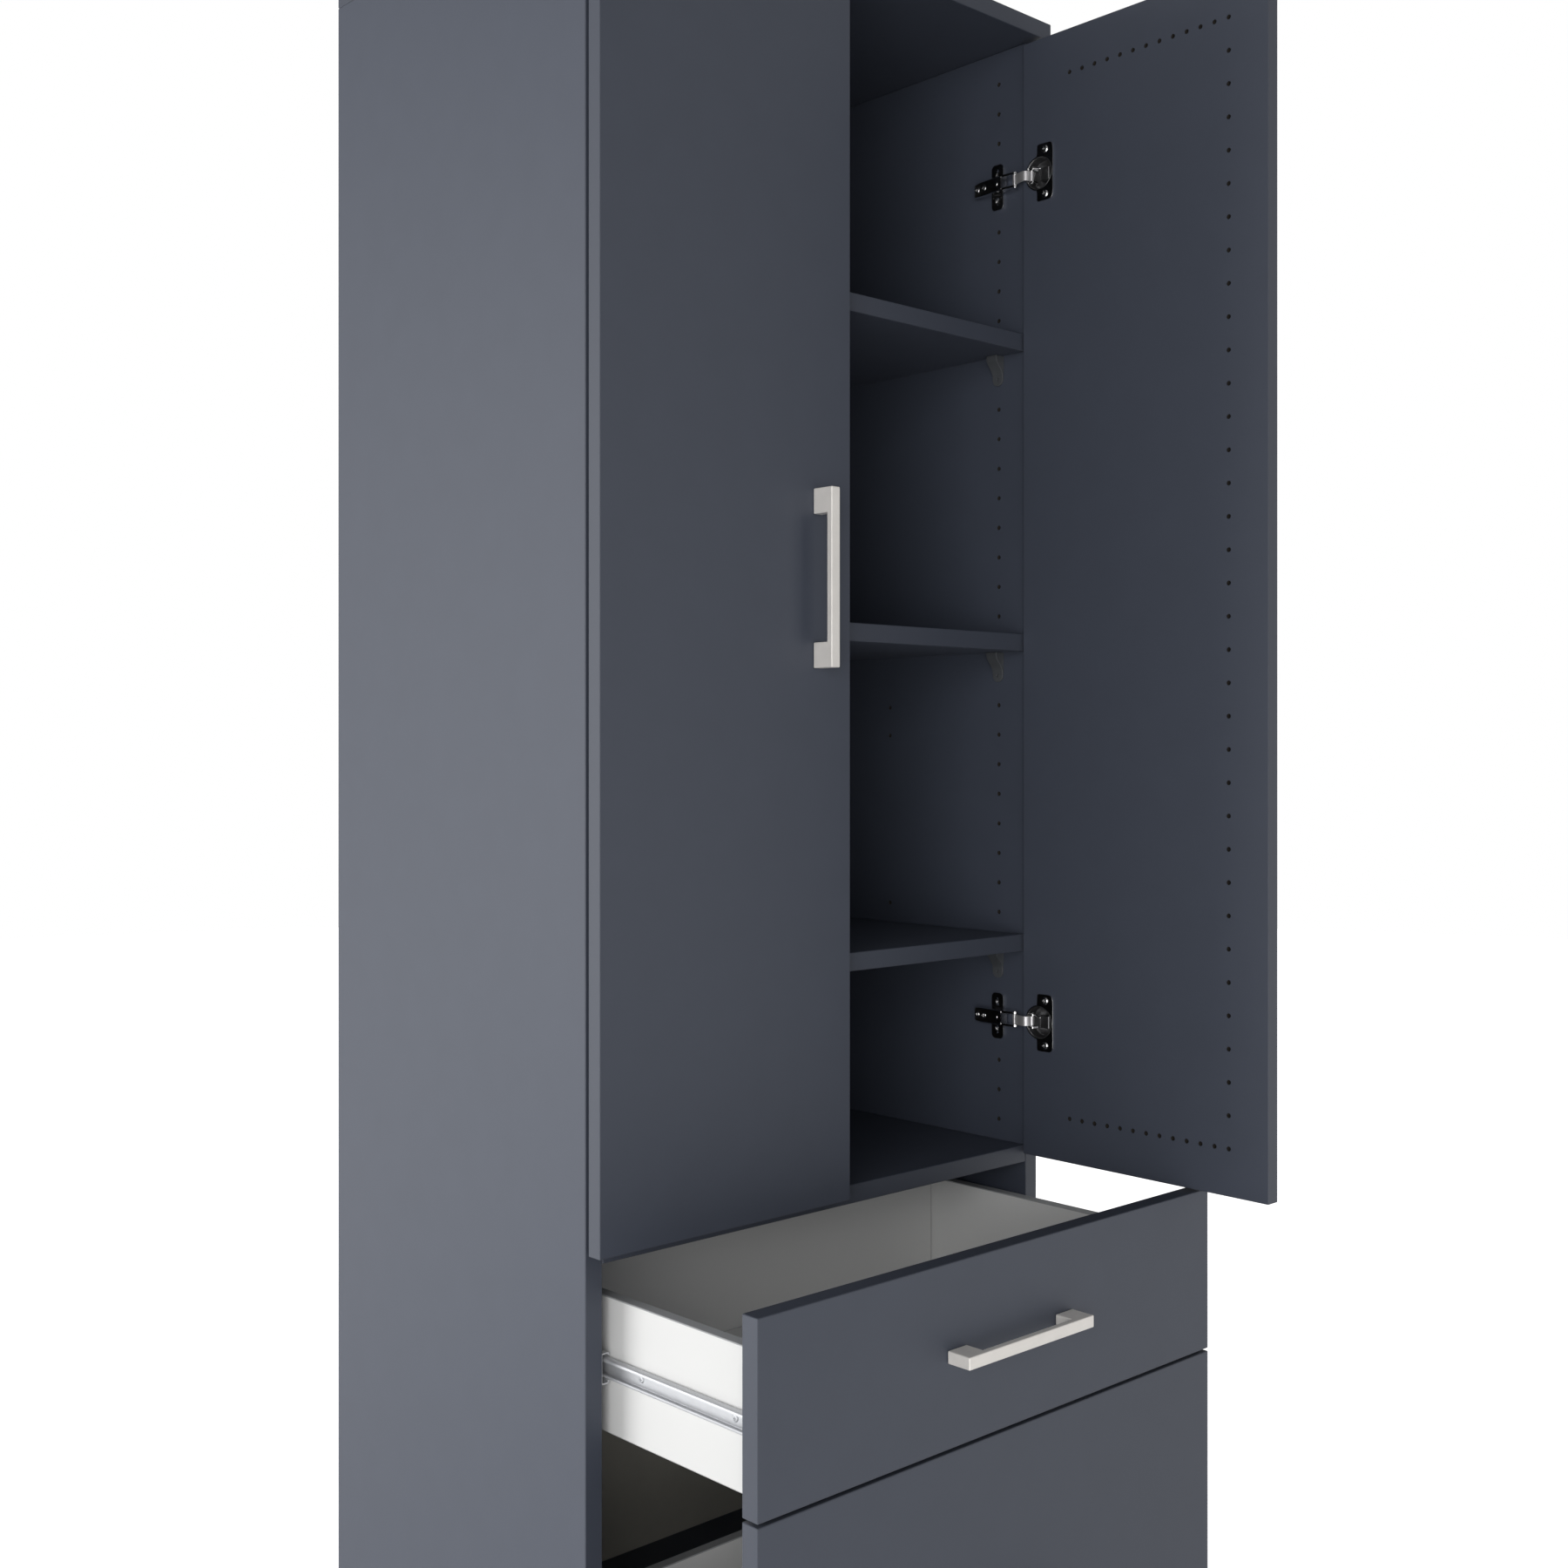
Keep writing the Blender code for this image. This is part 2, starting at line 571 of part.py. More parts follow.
def channel(name, hand, wall, reach, half, start):
    """A C-shaped runner member, its web at x = wall and its flanges reaching to x = reach."""
    inner = wall + math.copysign(RUNNER_METAL, reach - wall)
    low = half - RUNNER_METAL
    outline = [(wall, -half), (reach, -half), (reach, -low), (inner, -low), (inner, low), (reach, low),
               (reach, half), (wall, half)]
    return extrusion(name, outline, start, start + RUNNER_LENGTH, lambda a, b, along: (hand * a, along, b))


def build_drawer(frame, name, bottom, top, box_raise, handle):
    """A drawer in its closed place under an axis that is pulled out, and the fixed runner members."""
    slide = empty("drawer_axis_" + name, frame, (0, -PULLED_OUT, 0))
    half = WIDTH / 2 - FRONT_REVEAL
    board(f"drawer_{name}_front", (-half, FRONT_BACK - FRONT_THICKNESS, bottom), (half, FRONT_BACK, top),
          slide)
    start = FRONT_BACK + FIT
    inner_end = FRONT_BACK + BOX_INNER_LENGTH
    base = bottom + box_raise
    rim = base + BOX_HEIGHT
    inside = BOX_OUTER_X - BOX_WALL - FIT
    for side, hand in SIDES:
        board(f"drawer_{name}_side_{side}", (hand * BOX_OUTER_X, start, base),
              (hand * (BOX_OUTER_X - BOX_WALL), inner_end + BOX_WALL, rim), slide, "white_board")
    board(f"drawer_{name}_back", (-inside, inner_end, base), (inside, inner_end + BOX_WALL, rim), slide,
          "white_board")
    floor = base + BOX_BOTTOM_RAISE
    board(f"drawer_{name}_bottom", (-inside, start, floor), (inside, inner_end - FIT, floor + BOX_BOTTOM),
          slide, "white_board", THIN_EDGE_ROUND)
    z = base + BOX_HEIGHT / 2
    run = CARCASS_FRONT + RUNNER_SETBACK
    outer_wall, inner_wall = INNER_X - FIT, BOX_OUTER_X + FIT
    for side, hand in SIDES:
        reach = BOX_OUTER_X + OUTER_RUNNER_PLAY - FIT
        fixed = channel("fixed_runner", hand, outer_wall, reach, OUTER_RUNNER_HALF, run)
        piece(f"runner_fixed_{name}_{side}", fixed, "zinc_steel", frame, (0, 0, z))
        reach = INNER_X - INNER_RUNNER_PLAY + FIT
        sliding = channel("sliding_runner", hand, inner_wall, reach, INNER_RUNNER_HALF, run)
        piece(f"runner_sliding_{name}_{side}", sliding, "zinc_steel", slide, (0, 0, z))
    add_handle("handle_drawer_" + name, handle, slide,
               (0, FRONT_BACK - FRONT_THICKNESS, (bottom + top) / 2), level=True)


def frame_offset():
    """Moves the design frame so that the origin lies below the middle of the object as it stands."""
    inner_face = INNER_X - OPEN_U
    right = max(WIDTH / 2, inner_face + DOOR_THICKNESS + HANDLE_PROJECTION)
    door_edge = CARCASS_FRONT - OPEN_V - DOOR_WIDTH
    drawer_front = FRONT_BACK - FRONT_THICKNESS - PULLED_OUT - HANDLE_PROJECTION
    front = min(door_edge, drawer_front)
    return (-(right - WIDTH / 2) / 2, -(front + CARCASS_REAR) / 2, 0)


def build_cabinet():
    for obj in list(bpy.data.objects):
        bpy.data.objects.remove(obj)
    frame = empty("cabinet_frame", None, frame_offset())
    build_carcass(frame)
    build_shelves(frame)
    handle = handle_mesh()
    build_door(frame, "right", RIGHT, handle, OPEN_ANGLE)
    build_door(frame, "left", LEFT, handle, 0.0)
    build_drawer(frame, "upper", UPPER_FRONT_BOTTOM, UPPER_FRONT_TOP, UPPER_BOX_RAISE, handle)
    build_drawer(frame, "lower", BOTTOM_Z, UPPER_FRONT_BOTTOM - FRONT_SPLIT, LOWER_BOX_RAISE, handle)


build_cabinet()
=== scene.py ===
"""Pantry cabinet: finishes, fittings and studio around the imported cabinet.

Sizes in the classes are millimetres in a local frame, and a Place turns them into metres in the
cabinet's frame: +X to the right, -Y out of the front, +Z up, with the floor at z = 0.
"""

import json
import logging
import math
from dataclasses import dataclass
from enum import Enum
from typing import Any, Union

import bmesh
import bpy
import numpy as np
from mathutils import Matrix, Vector


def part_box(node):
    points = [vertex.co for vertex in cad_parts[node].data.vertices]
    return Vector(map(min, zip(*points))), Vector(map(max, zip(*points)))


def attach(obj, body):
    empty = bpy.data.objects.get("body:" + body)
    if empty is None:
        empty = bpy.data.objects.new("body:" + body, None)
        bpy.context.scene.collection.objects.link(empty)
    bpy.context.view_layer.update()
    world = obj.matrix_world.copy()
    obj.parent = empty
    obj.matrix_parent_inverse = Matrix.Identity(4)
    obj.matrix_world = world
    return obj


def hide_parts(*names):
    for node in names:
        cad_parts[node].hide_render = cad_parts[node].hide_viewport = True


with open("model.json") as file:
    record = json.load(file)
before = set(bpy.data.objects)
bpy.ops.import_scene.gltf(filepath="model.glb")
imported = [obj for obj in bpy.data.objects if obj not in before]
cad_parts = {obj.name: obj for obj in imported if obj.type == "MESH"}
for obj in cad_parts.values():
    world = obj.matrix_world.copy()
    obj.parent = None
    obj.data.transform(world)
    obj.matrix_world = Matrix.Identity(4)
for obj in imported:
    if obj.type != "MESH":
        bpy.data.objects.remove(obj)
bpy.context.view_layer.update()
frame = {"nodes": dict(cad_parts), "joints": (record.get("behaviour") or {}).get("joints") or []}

MM = 0.001
LOG = logging.getLogger("pantry_cabinet")

Pair = tuple[float, float]
Triple = tuple[float, float, float]
Colour = Triple
Number = Union[float, int, "Value"]
Socket = bpy.types.NodeSocket
Material = bpy.types.Material

SHARP_ANGLE = math.radians(32)
NEVER_ZERO = 1e-6


class Side(Enum):
    """The two sides of the cabinet; the value is the sign of x."""

    RIGHT = 1
    LEFT = -1

    @property
    def label(self) -> str:
        """The side's name as the nodes spell it."""
        return self.name.lower()


class Level(Enum):
    """Upper and lower copies of a fitting; the value is the name as the nodes spell it."""

    UPPER = "upper"
    LOWER = "lower"


class Axis(Enum):
    """A coordinate axis; the value is its number."""

    X = 0
    Y = 1
    Z = 2


# Shader maths


@dataclass(frozen=True)
class Value:
    """A number that varies over a surface. Arithmetic on it adds Math nodes."""

    graph: "Graph"
    socket: Socket

    def __add__(self, other: Number) -> "Value":
        """Sum."""
        return self.graph.math("ADD", self, other)

    __radd__ = __add__

    def __sub__(self, other: Number) -> "Value":
        """Difference."""
        return self.graph.math("SUBTRACT", self, other)

    def __rsub__(self, other: Number) -> "Value":
        """Difference from a number."""
        return self.graph.math("SUBTRACT", other, self)

    def __mul__(self, other: Number) -> "Value":
        """Product."""
        return self.graph.math("MULTIPLY", self, other)

    def smaller(self, other: Number) -> "Value":
        """The smaller of the two."""
        return self.graph.math("MINIMUM", self, other)

    def mixed(self, other: "Value", share: float) -> "Value":
        """The given share of this value, and the rest of the other."""
        return self * share + other * (1 - share)

    def swing(self, amount: float) -> "Value":
        """For a value between 0 and 1, up to half the amount either way."""
        return (self - 0.5) * amount

    def rises_mm(self, start: float, end: float) -> "Value":
        """For a value in metres, the smooth step between two lengths in millimetres."""
        return self.rises(start * MM, end * MM)

    def rises(self, start: float, end: float) -> "Value":
        """0 up to start, 1 from end, with a smooth step between them.

        Args:
            start: Value at which the step leaves 0.
            end: Value at which the step reaches 1.

        Returns:
            The step as a value.
        """
        inputs = {"Value": self, "From Min": start, "From Max": end}
        step = self.graph.node("ShaderNodeMapRange", {"interpolation_type": "SMOOTHSTEP"}, inputs)
        return Value(self.graph, step.outputs["Result"])


class Graph:
    """The node tree of one new material."""

    def __init__(self, name: str) -> None:
        """Makes the material and finds its Principled shader.

        Args:
            name: The material's name.
        """
        self.material = bpy.data.materials.new(name)
        self.material.use_nodes = True
        self.nodes = self.material.node_tree.nodes
        self.links = self.material.node_tree.links
        self.shader = self.nodes["Principled BSDF"]

    def node(self, kind: str, settings: dict[str, Any], inputs: dict[Any, Any]) -> bpy.types.Node:
        """Adds a node.

        Args:
            kind: The node's type.
            settings: Its properties, set first.
            inputs: Values, sockets or Values by input name or number.

        Returns:
            The new node.
        """
        made = self.nodes.new(kind)
        for key, setting in settings.items():
            setattr(made, key, setting)
        for key, content in inputs.items():
            self.feed(made.inputs[key], content)
        return made

    def feed(self, socket: Socket, content: Any) -> None:
        """Links a Value or socket to an input, or sets the input to a plain number or colour.

        Args:
            socket: The input.
            content: What it gets.
        """
        if isinstance(content, Value):
            self.links.new(content.socket, socket)
        elif isinstance(content, Socket):
            self.links.new(content, socket)
        elif isinstance(content, tuple) and socket.type == "RGBA":
            socket.default_value = (*content, 1.0)
        else:
            socket.default_value = content

    def math(self, operation: str, *operands: Number) -> Value:
        """Adds a Math node and returns its result."""
        made = self.node("ShaderNodeMath", {"operation": operation}, dict(enumerate(operands)))
        return Value(self, made.outputs[0])

    def position(self) -> Socket:
        """The point's place in the cabinet's frame, in metres."""
        return self.node("ShaderNodeTexCoord", {}, {}).outputs["Object"]

    def parts(self, vector: Socket) -> list[Value]:
        """The three coordinates of a vector."""
        return [Value(self, s) for s in self.node("ShaderNodeSeparateXYZ", {}, {0: vector}).outputs]

    def noise(self, size: float, detail: float = 2.0, stretch: Triple = (1.0, 1.0, 1.0)) -> Value:
        """Cloudy noise between 0 and 1.

        Args:
            size: Size of its features in millimetres.
            detail: Number of finer layers.
            stretch: Scale of the pattern along each axis; a small number draws it out.

        Returns:
            The noise as a value.
        """
        mapped = self.node("ShaderNodeMapping", {}, {"Vector": self.position(), "Scale": stretch})
        inputs = {"Vector": mapped.outputs[0], "Scale": 1 / (size * MM), "Detail": detail}
        return Value(self, self.node("ShaderNodeTexNoise", {}, inputs).outputs[0])

    def blend(self, amount: Number, first: Any, second: Any) -> Socket:
        """A colour between two colours.

        Args:
            amount: 0 for the first colour, 1 for the second.
            first: The first colour, or its socket.
            second: The second colour, or its socket.

        Returns:
            The colour's socket.
        """
        settings = {"data_type": "RGBA", "clamp_factor": True}
        made = self.node("ShaderNodeMix", settings, {0: amount, 6: first, 7: second})
        return made.outputs[2]

    def mottled(self, shade: Value, colour: Colour, darker: float, lighter: float) -> Socket:
        """The colour times a factor between two, as the shade goes from 0 to 1."""
        return self.blend(shade, shaded(colour, darker), shaded(colour, lighter))

    def bump(self, height: Value, depth: float) -> None:
        """Feeds the shader's normal from a height of up to the given depth in millimetres."""
        made = self.node("ShaderNodeBump", {}, {"Height": height, "Distance": depth * MM})
        self.feed(self.shader.inputs["Normal"], made.outputs[0])

    def finish(self, **sockets: Any) -> Material:
        """Feeds the shader.

        Args:
            **sockets: What each input gets, by its name with underscores for spaces.

        Returns:
            The material.
        """
        for key, content in sockets.items():
            self.feed(self.shader.inputs[key.replace("_", " ").title()], content)
        return self.material


def shaded(colour: Colour, factor: float) -> Colour:
    """The colour made lighter or darker by a factor."""
    return tuple(min(part * factor, 1.0) for part in colour)


# Finishes


@dataclass(frozen=True)
class BoardFinish:
    """Melamine-faced board: mottled faces, a thin band round the borders, and a core colour in the holes,
    which on the dark boards is painted shade.

    The border distance of a point is the smaller of its distances to the four narrow faces, and its
    depth is its distance to the nearer broad face, both from the board's own box.
    """

    name: str
    face: Colour
    band: Colour
    core: Colour
    roughness: float
    mottle: float = 0.10
    cloud_size: float = 38.0
    speck_size: float = 1.1
    cloud_share: float = 0.6
    band_width: float = 1.0
    band_blur: float = 0.1
    joint_width: float = 0.22
    joint_strength: float = 0.55
    joint_shade: float = 0.35
    laminate: Pair = (0.35, 0.6)
    core_border: Pair = (1.5, 2.0)
    wear_reach: Pair = (0.1, 0.9)
    wear_size: float = 9.0
    wear_strength: float = 0.5
    wear_shade: float = 1.6
    pore_size: float = 0.55
    wave_size: float = 6.0
    relief_depth: float = 0.035
    pore_height: float = 0.7
    wave_height: float = 0.6
    joint_sink: float = 0.8
    pore_roughness: float = 0.12
    core_roughness: float = 0.25
    wear_polish: float = 0.1

    def material(self, node: str) -> Material:
        """The finish for one board.

        Args:
            node: The board's CAD node.

        Returns:
            The material.
        """
        low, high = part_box(node)
        graph = Graph(f"{self.name}_{node}")
        thin = min(range(3), key=lambda axis: high[axis] - low[axis])
        coordinates = graph.parts(graph.position())
        distances = [(here - low[i]).smaller(high[i] - here) for i, here in enumerate(coordinates)]
        depth = distances.pop(thin)
        border = distances[0].smaller(distances[1])
        band = 1 - border.rises_mm(self.band_width - self.band_blur, self.band_width + self.band_blur)
        joint = band * border.rises_mm(self.band_width - self.joint_width, self.band_width)
        inside = depth.rises_mm(*self.laminate) * border.rises_mm(*self.core_border)
        clouds = graph.noise(self.cloud_size, 3.0)
        specks = graph.noise(self.speck_size)
        wear = (1 - (border + depth).rises_mm(*self.wear_reach)) * graph.noise(self.wear_size, 4.0)
        shade = clouds.mixed(specks, self.cloud_share)
        banded = graph.blend(band, self.face_colour(graph, shade), self.band)
        seam = graph.blend(joint * self.joint_strength, banded, shaded(self.band, self.joint_shade))
        worn = graph.blend(wear * self.wear_strength, seam, shaded(self.band, self.wear_shade))
        # In the holes the core colour: raw chipboard on the white board, and on the dark boards a
        # near-black painted shade inside the holes.
        colour = graph.blend(inside, worn, self.core)
        pores = graph.noise(self.pore_size, 3.0)
        waves = graph.noise(self.wave_size)
        relief = pores * self.pore_height + waves * self.wave_height - joint * self.joint_sink
        graph.bump(relief, self.relief_depth)
        roughness = self.roughness + pores.swing(self.pore_roughness)
        roughness = roughness + inside * self.core_roughness - wear * self.wear_polish
        return graph.finish(base_color=colour, roughness=roughness)

    def face_colour(self, graph: Graph, shade: Value) -> Socket:
        """The broad faces' colour, mottled by a shade between 0 and 1."""
        return graph.mottled(shade, self.face, 1 - self.mottle, 1 + self.mottle)


@dataclass(frozen=True)
class TwoPieceFinish(BoardFinish):
    """A back with the board's colour above a board's middle and a warm tone below it, painted far paler as
    painted light falling into the lower compartment.
    """

    meets_at: str = "middle_panel"
    # Warm tone of the lower part, painted far paler as painted light falling into the lower compartment.
    bare: Colour = (0.72, 0.69, 0.6)
    joint_half: float = 0.5

    def face_colour(self, graph: Graph, shade: Value) -> Socket:
        """The mottled colour above the change, and below it the warm tone painted pale as painted light.

        Args:
            graph: The material's graph.
            shade: The mottling, between 0 and 1.

        Returns:
            The colour's socket.
        """
        low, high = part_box(self.meets_at)
        above = graph.parts(graph.position())[2] - (low.z + high.z) / 2
        upper = above.rises_mm(-self.joint_half, self.joint_half)
        # Below the board, the pale colour of painted light on a warm tone.
        bare = graph.mottled(shade, self.bare, 1 - self.mottle, 1 + self.mottle)
        return graph.blend(upper, bare, super().face_colour(graph, shade))


@dataclass(frozen=True)
class MetalFinish:
    """Plated metal with fine lines drawn out along one axis and faint cloudy tarnish."""

    name: str
    colour: Colour
    roughness: float
    line_roughness: float
    line_depth: float
    along: Axis = Axis.Z
    metallic: float = 1.0
    shades: Pair = (0.88, 1.1)
    line_size: float = 0.35
    line_draw: float = 0.01
    cloud_size: float = 14.0
    cloud_share: float = 0.6
    cloud_roughness: float = 0.08

    def material(self) -> Material:
        """Makes the finish, its lines a noise that is drawn out along the brushing.

        Returns:
            The material.
        """
        graph = Graph(f"{self.name}_{self.along.name.lower()}")
        stretch = tuple(self.line_draw if axis is self.along else 1.0 for axis in Axis)
        lines = graph.noise(self.line_size, 3.0, stretch)
        clouds = graph.noise(self.cloud_size, 3.0)
        colour = graph.mottled(clouds.mixed(lines, self.cloud_share), self.colour, *self.shades)
        roughness = self.roughness + lines.swing(self.line_roughness) + clouds.swing(self.cloud_roughness)
        graph.bump(lines, self.line_depth)
        return graph.finish(base_color=colour, roughness=roughness, metallic=self.metallic)


@dataclass(frozen=True)
class PlasticFinish:
    """Moulded nylon with a fine spark-eroded texture."""

    name: str
    colour: Colour
    roughness: float
    shades: Pair = (0.85, 1.15)
    flow_size: float = 7.0
    texture_size: float = 0.3
    texture_depth: float = 0.03
    texture_roughness: float = 0.2

    def material(self) -> Material:
        """Makes the finish from a noise of texture size and one of flow marks.

        Returns:
            The material.
        """
        graph = Graph(self.name)
        texture = graph.noise(self.texture_size)
        colour = graph.mottled(graph.noise(self.flow_size, 3.0), self.colour, *self.shades)
        graph.bump(texture, self.texture_depth)
        roughness = self.roughness + texture.swing(self.texture_roughness)
        return graph.finish(base_color=colour, roughness=roughness)


# ANTHRACITE's and BACK's core colours are darkened far below raw chipboard: painted shade inside their
# holes. WHITE's core is raw chipboard.
ANTHRACITE = BoardFinish("anthracite_board", face=(0.052, 0.061, 0.086), band=(0.049, 0.057, 0.079),
                         core=(0.03, 0.025, 0.02), roughness=0.58)
WHITE = BoardFinish("white_board", face=(0.76, 0.76, 0.75), band=(0.4, 0.41, 0.42),
                    core=(0.5, 0.4, 0.28), roughness=0.45, mottle=0.015)
# BACK's lower part is painted pale: painted light in the lower compartment, over a warm tone.
BACK = TwoPieceFinish("grey_back_board", face=(0.075, 0.073, 0.068), band=(0.06, 0.055, 0.05),
                      core=(0.1, 0.08, 0.05), roughness=0.6)
BRUSHED_NICKEL = {
    axis: MetalFinish("brushed_nickel", (0.9, 0.865, 0.82), roughness=0.5, line_roughness=0.16,
                      line_depth=0.006, along=axis, metallic=0.25)
    for axis in Axis
}
BRIGHT_NICKEL = MetalFinish("polished_nickel", (0.66, 0.66, 0.665), roughness=0.17,
                            line_roughness=0.1, line_depth=0.002)
SATIN_NICKEL = MetalFinish("satin_nickel", (0.62, 0.61, 0.62), roughness=0.42,
                           line_roughness=0.12, line_depth=0.003, metallic=0.75)
# Dish steel far darker than the other nickel parts: painted shade for the shadow inside the hinge cup.
SHADED_CUP_STEEL = MetalFinish("cup_steel", (0.16, 0.16, 0.165), roughness=0.4,
                        line_roughness=0.1, line_depth=0.003)
ZINC = MetalFinish("zinc_steel", (0.56, 0.57, 0.59), roughness=0.45, line_roughness=0.16,
                   line_depth=0.004, along=Axis.Y, metallic=0.5)
NYLON = PlasticFinish("dark_plastic", (0.074, 0.079, 0.086), roughness=0.45)


# Surfaces


@dataclass(frozen=True)
class Place:
    """A local frame: an origin in metres, and the cabinet-frame direction of each local axis."""

    origin: np.ndarray
    axes: np.ndarray

    def points(self, local: np.ndarray) -> np.ndarray:
        """Local points in millimetres as cabinet-frame points in metres."""
        return self.origin + MM * np.asarray(local, float) @ self.axes

    def moved(self, a: float, b: float, c: float) -> "Place":
        """The same axes from another local point."""
        return Place(self.points(np.array([a, b, c])), self.axes)

    def ordered(self, *order: int) -> "Place":
        """The frame with its axes taken in another order."""
        return Place(self.origin, self.axes[list(order)])


def circle(radius: float, sides: int = 32) -> np.ndarray:
    """A circle's outline: the radius times the cosine and sine of equal steps of the full turn."""
    turn = np.linspace(0, 2 * math.pi, sides, endpoint=False)
    return radius * np.stack([np.cos(turn), np.sin(turn)], axis=1)


def rounded(low: Pair, high: Pair, radius: float, steps: int = 8) -> np.ndarray:
    """A rectangle's outline with quarter circles at its corners.

    Args:
        low: Lowest corner.
        high: Highest corner.
        radius: Radius of the corners.
        steps: Points on each quarter circle, less one.

    Returns:
        The outline's points, in one turn.
    """
    centres = np.array([(high[0], high[1]), (low[0], high[1]), low, (high[0], low[1])], float)
    inwards = np.array([(-1, -1), (1, -1), (1, 1), (-1, 1)]) * radius
    angles = np.linspace(0, math.pi / 2, steps + 1) + np.arange(4)[:, None] * math.pi / 2
    bends = radius * np.stack([np.cos(angles), np.sin(angles)], axis=2)
    return ((centres + inwards)[:, None] + bends).reshape(-1, 2)


def polar(radii: np.ndarray) -> np.ndarray:
    """An outline whose radius is given at equal steps of the full turn."""
    return circle(1.0, len(radii)) * radii[:, None]


def cross(reach: float, half_width: float, sides: int = 48) -> np.ndarray:
    """A plus sign's outline: at each angle the farther of the edges of its two crossing bars.

    Args:
        reach: Half the length of a bar.
        half_width: Half its width.
        sides: Number of points.

    Returns:
        The outline.
    """
    across, up = np.maximum(np.abs(circle(1.0, sides).T), NEVER_ZERO)
    level = np.minimum(reach / across, half_width / up)
    upright = np.minimum(reach / up, half_width / across)
    return polar(np.maximum(level, upright))


def band_outline(centre: np.ndarray, thickness: float) -> np.ndarray:
    """The outline of a strip of even thickness: its centre line moved to both sides by half of it.

    Args:
        centre: Points of the centre line.
        thickness: The strip's thickness.

    Returns:
        The outline, up one side and back down the other.
    """
    heading = np.gradient(centre, axis=0)
    heading /= np.linalg.norm(heading, axis=1)[:, None]
    normal = np.stack([-heading[:, 1], heading[:, 0]], axis=1) * thickness / 2
    return np.concatenate([centre + normal, (centre - normal)[::-1]])


def bent_line(corners: list[Pair], radius: float, steps: int = 5) -> np.ndarray:
    """A line through corner points, with a quadratic curve round each corner.

    Args:
        corners: The points.
        radius: How far from its corner each curve starts and ends, at most half of the way.
        steps: Points on each curve.

    Returns:
        The line's points.
    """
    points = np.array(corners, float)
    blend = np.linspace(0, 1, steps)[:, None]
    line = [points[:1]]
    for before, corner, after in zip(points, points[1:], points[2:]):
        back, ahead = before - corner, after - corner
        start = corner + back * min(radius / np.linalg.norm(back), 0.5)
        end = corner + ahead * min(radius / np.linalg.norm(ahead), 0.5)
        line.append((1 - blend) ** 2 * start + 2 * blend * (1 - blend) * corner + blend**2 * end)
    return np.concatenate([*line, points[-1:]])


def prism(outline: np.ndarray, start: float, end: float) -> np.ndarray:
    """Two rings: the outline in the first two local axes, at two places along the third."""
    return stations([(outline, start), (outline, end)])


def stations(pairs: list[tuple[np.ndarray, float]]) -> np.ndarray:
    """Rings from outlines of equal length, each at its own place along the third local axis."""
    rings = [np.column_stack([outline, np.full(len(outline), along)]) for outline, along in pairs]
    return np.stack(rings)


def turned(profile: list[Pair], sides: int = 32) -> np.ndarray:
    """Rings of a turned shape: a circle round the third local axis for each radius and height."""
    return stations([(circle(radius, sides), height) for radius, height in profile])


@dataclass(frozen=True)
class Pin:
    """A round pin whose ends narrow by an amount over a length."""

    radius: float
    taper: Pair
    sides: int = 24

    def rings(self, start: float, end: float) -> np.ndarray:
        """Makes the rings round the third local axis.

        Args:
            start: Height of the first end.
            end: Height of the last end.

        Returns:
            The rings.
        """
        narrow, length = self.radius - self.taper[0], self.taper[1]
        body = [(self.radius, start + length), (self.radius, end - length)]
        return turned([(narrow, start), *body, (narrow, end)], self.sides)


def plate_with_hole(outer: np.ndarray, inner: np.ndarray, low: float, high: float) -> np.ndarray:
    """Rings up the outer outline and down the hole's; looped, they close a plate."""
    return stations([(outer, low), (outer, high), (inner, high), (inner, low)])


def even(outline: np.ndarray, count: int = 64) -> np.ndarray:
    """The outline resampled to points at equal steps of angle round its middle.

    Args:
        outline: A star-shaped outline.
        count: Number of points.

    Returns:
        The new outline, so that outlines of different origin match point by point.
    """
    middle = (outline.min(axis=0) + outline.max(axis=0)) / 2
    offset = outline - middle
    angle = np.arctan2(offset[:, 1], offset[:, 0])
    order = np.argsort(angle)
    steps = np.linspace(-math.pi, math.pi, count, endpoint=False)
    parts = [np.interp(steps, angle[order], offset[order, i], period=2 * math.pi) for i in (0, 1)]
    return middle + np.stack(parts, axis=1)


def add_object(name: str, data: bpy.types.ID) -> bpy.types.Object:
    """Adds an object to the scene.

    Args:
        name: Its name.
        data: Its mesh, light or camera.

    Returns:
        The object.
    """
    made = bpy.data.objects.new(name, data)
    bpy.context.scene.collection.objects.link(made)
    return made


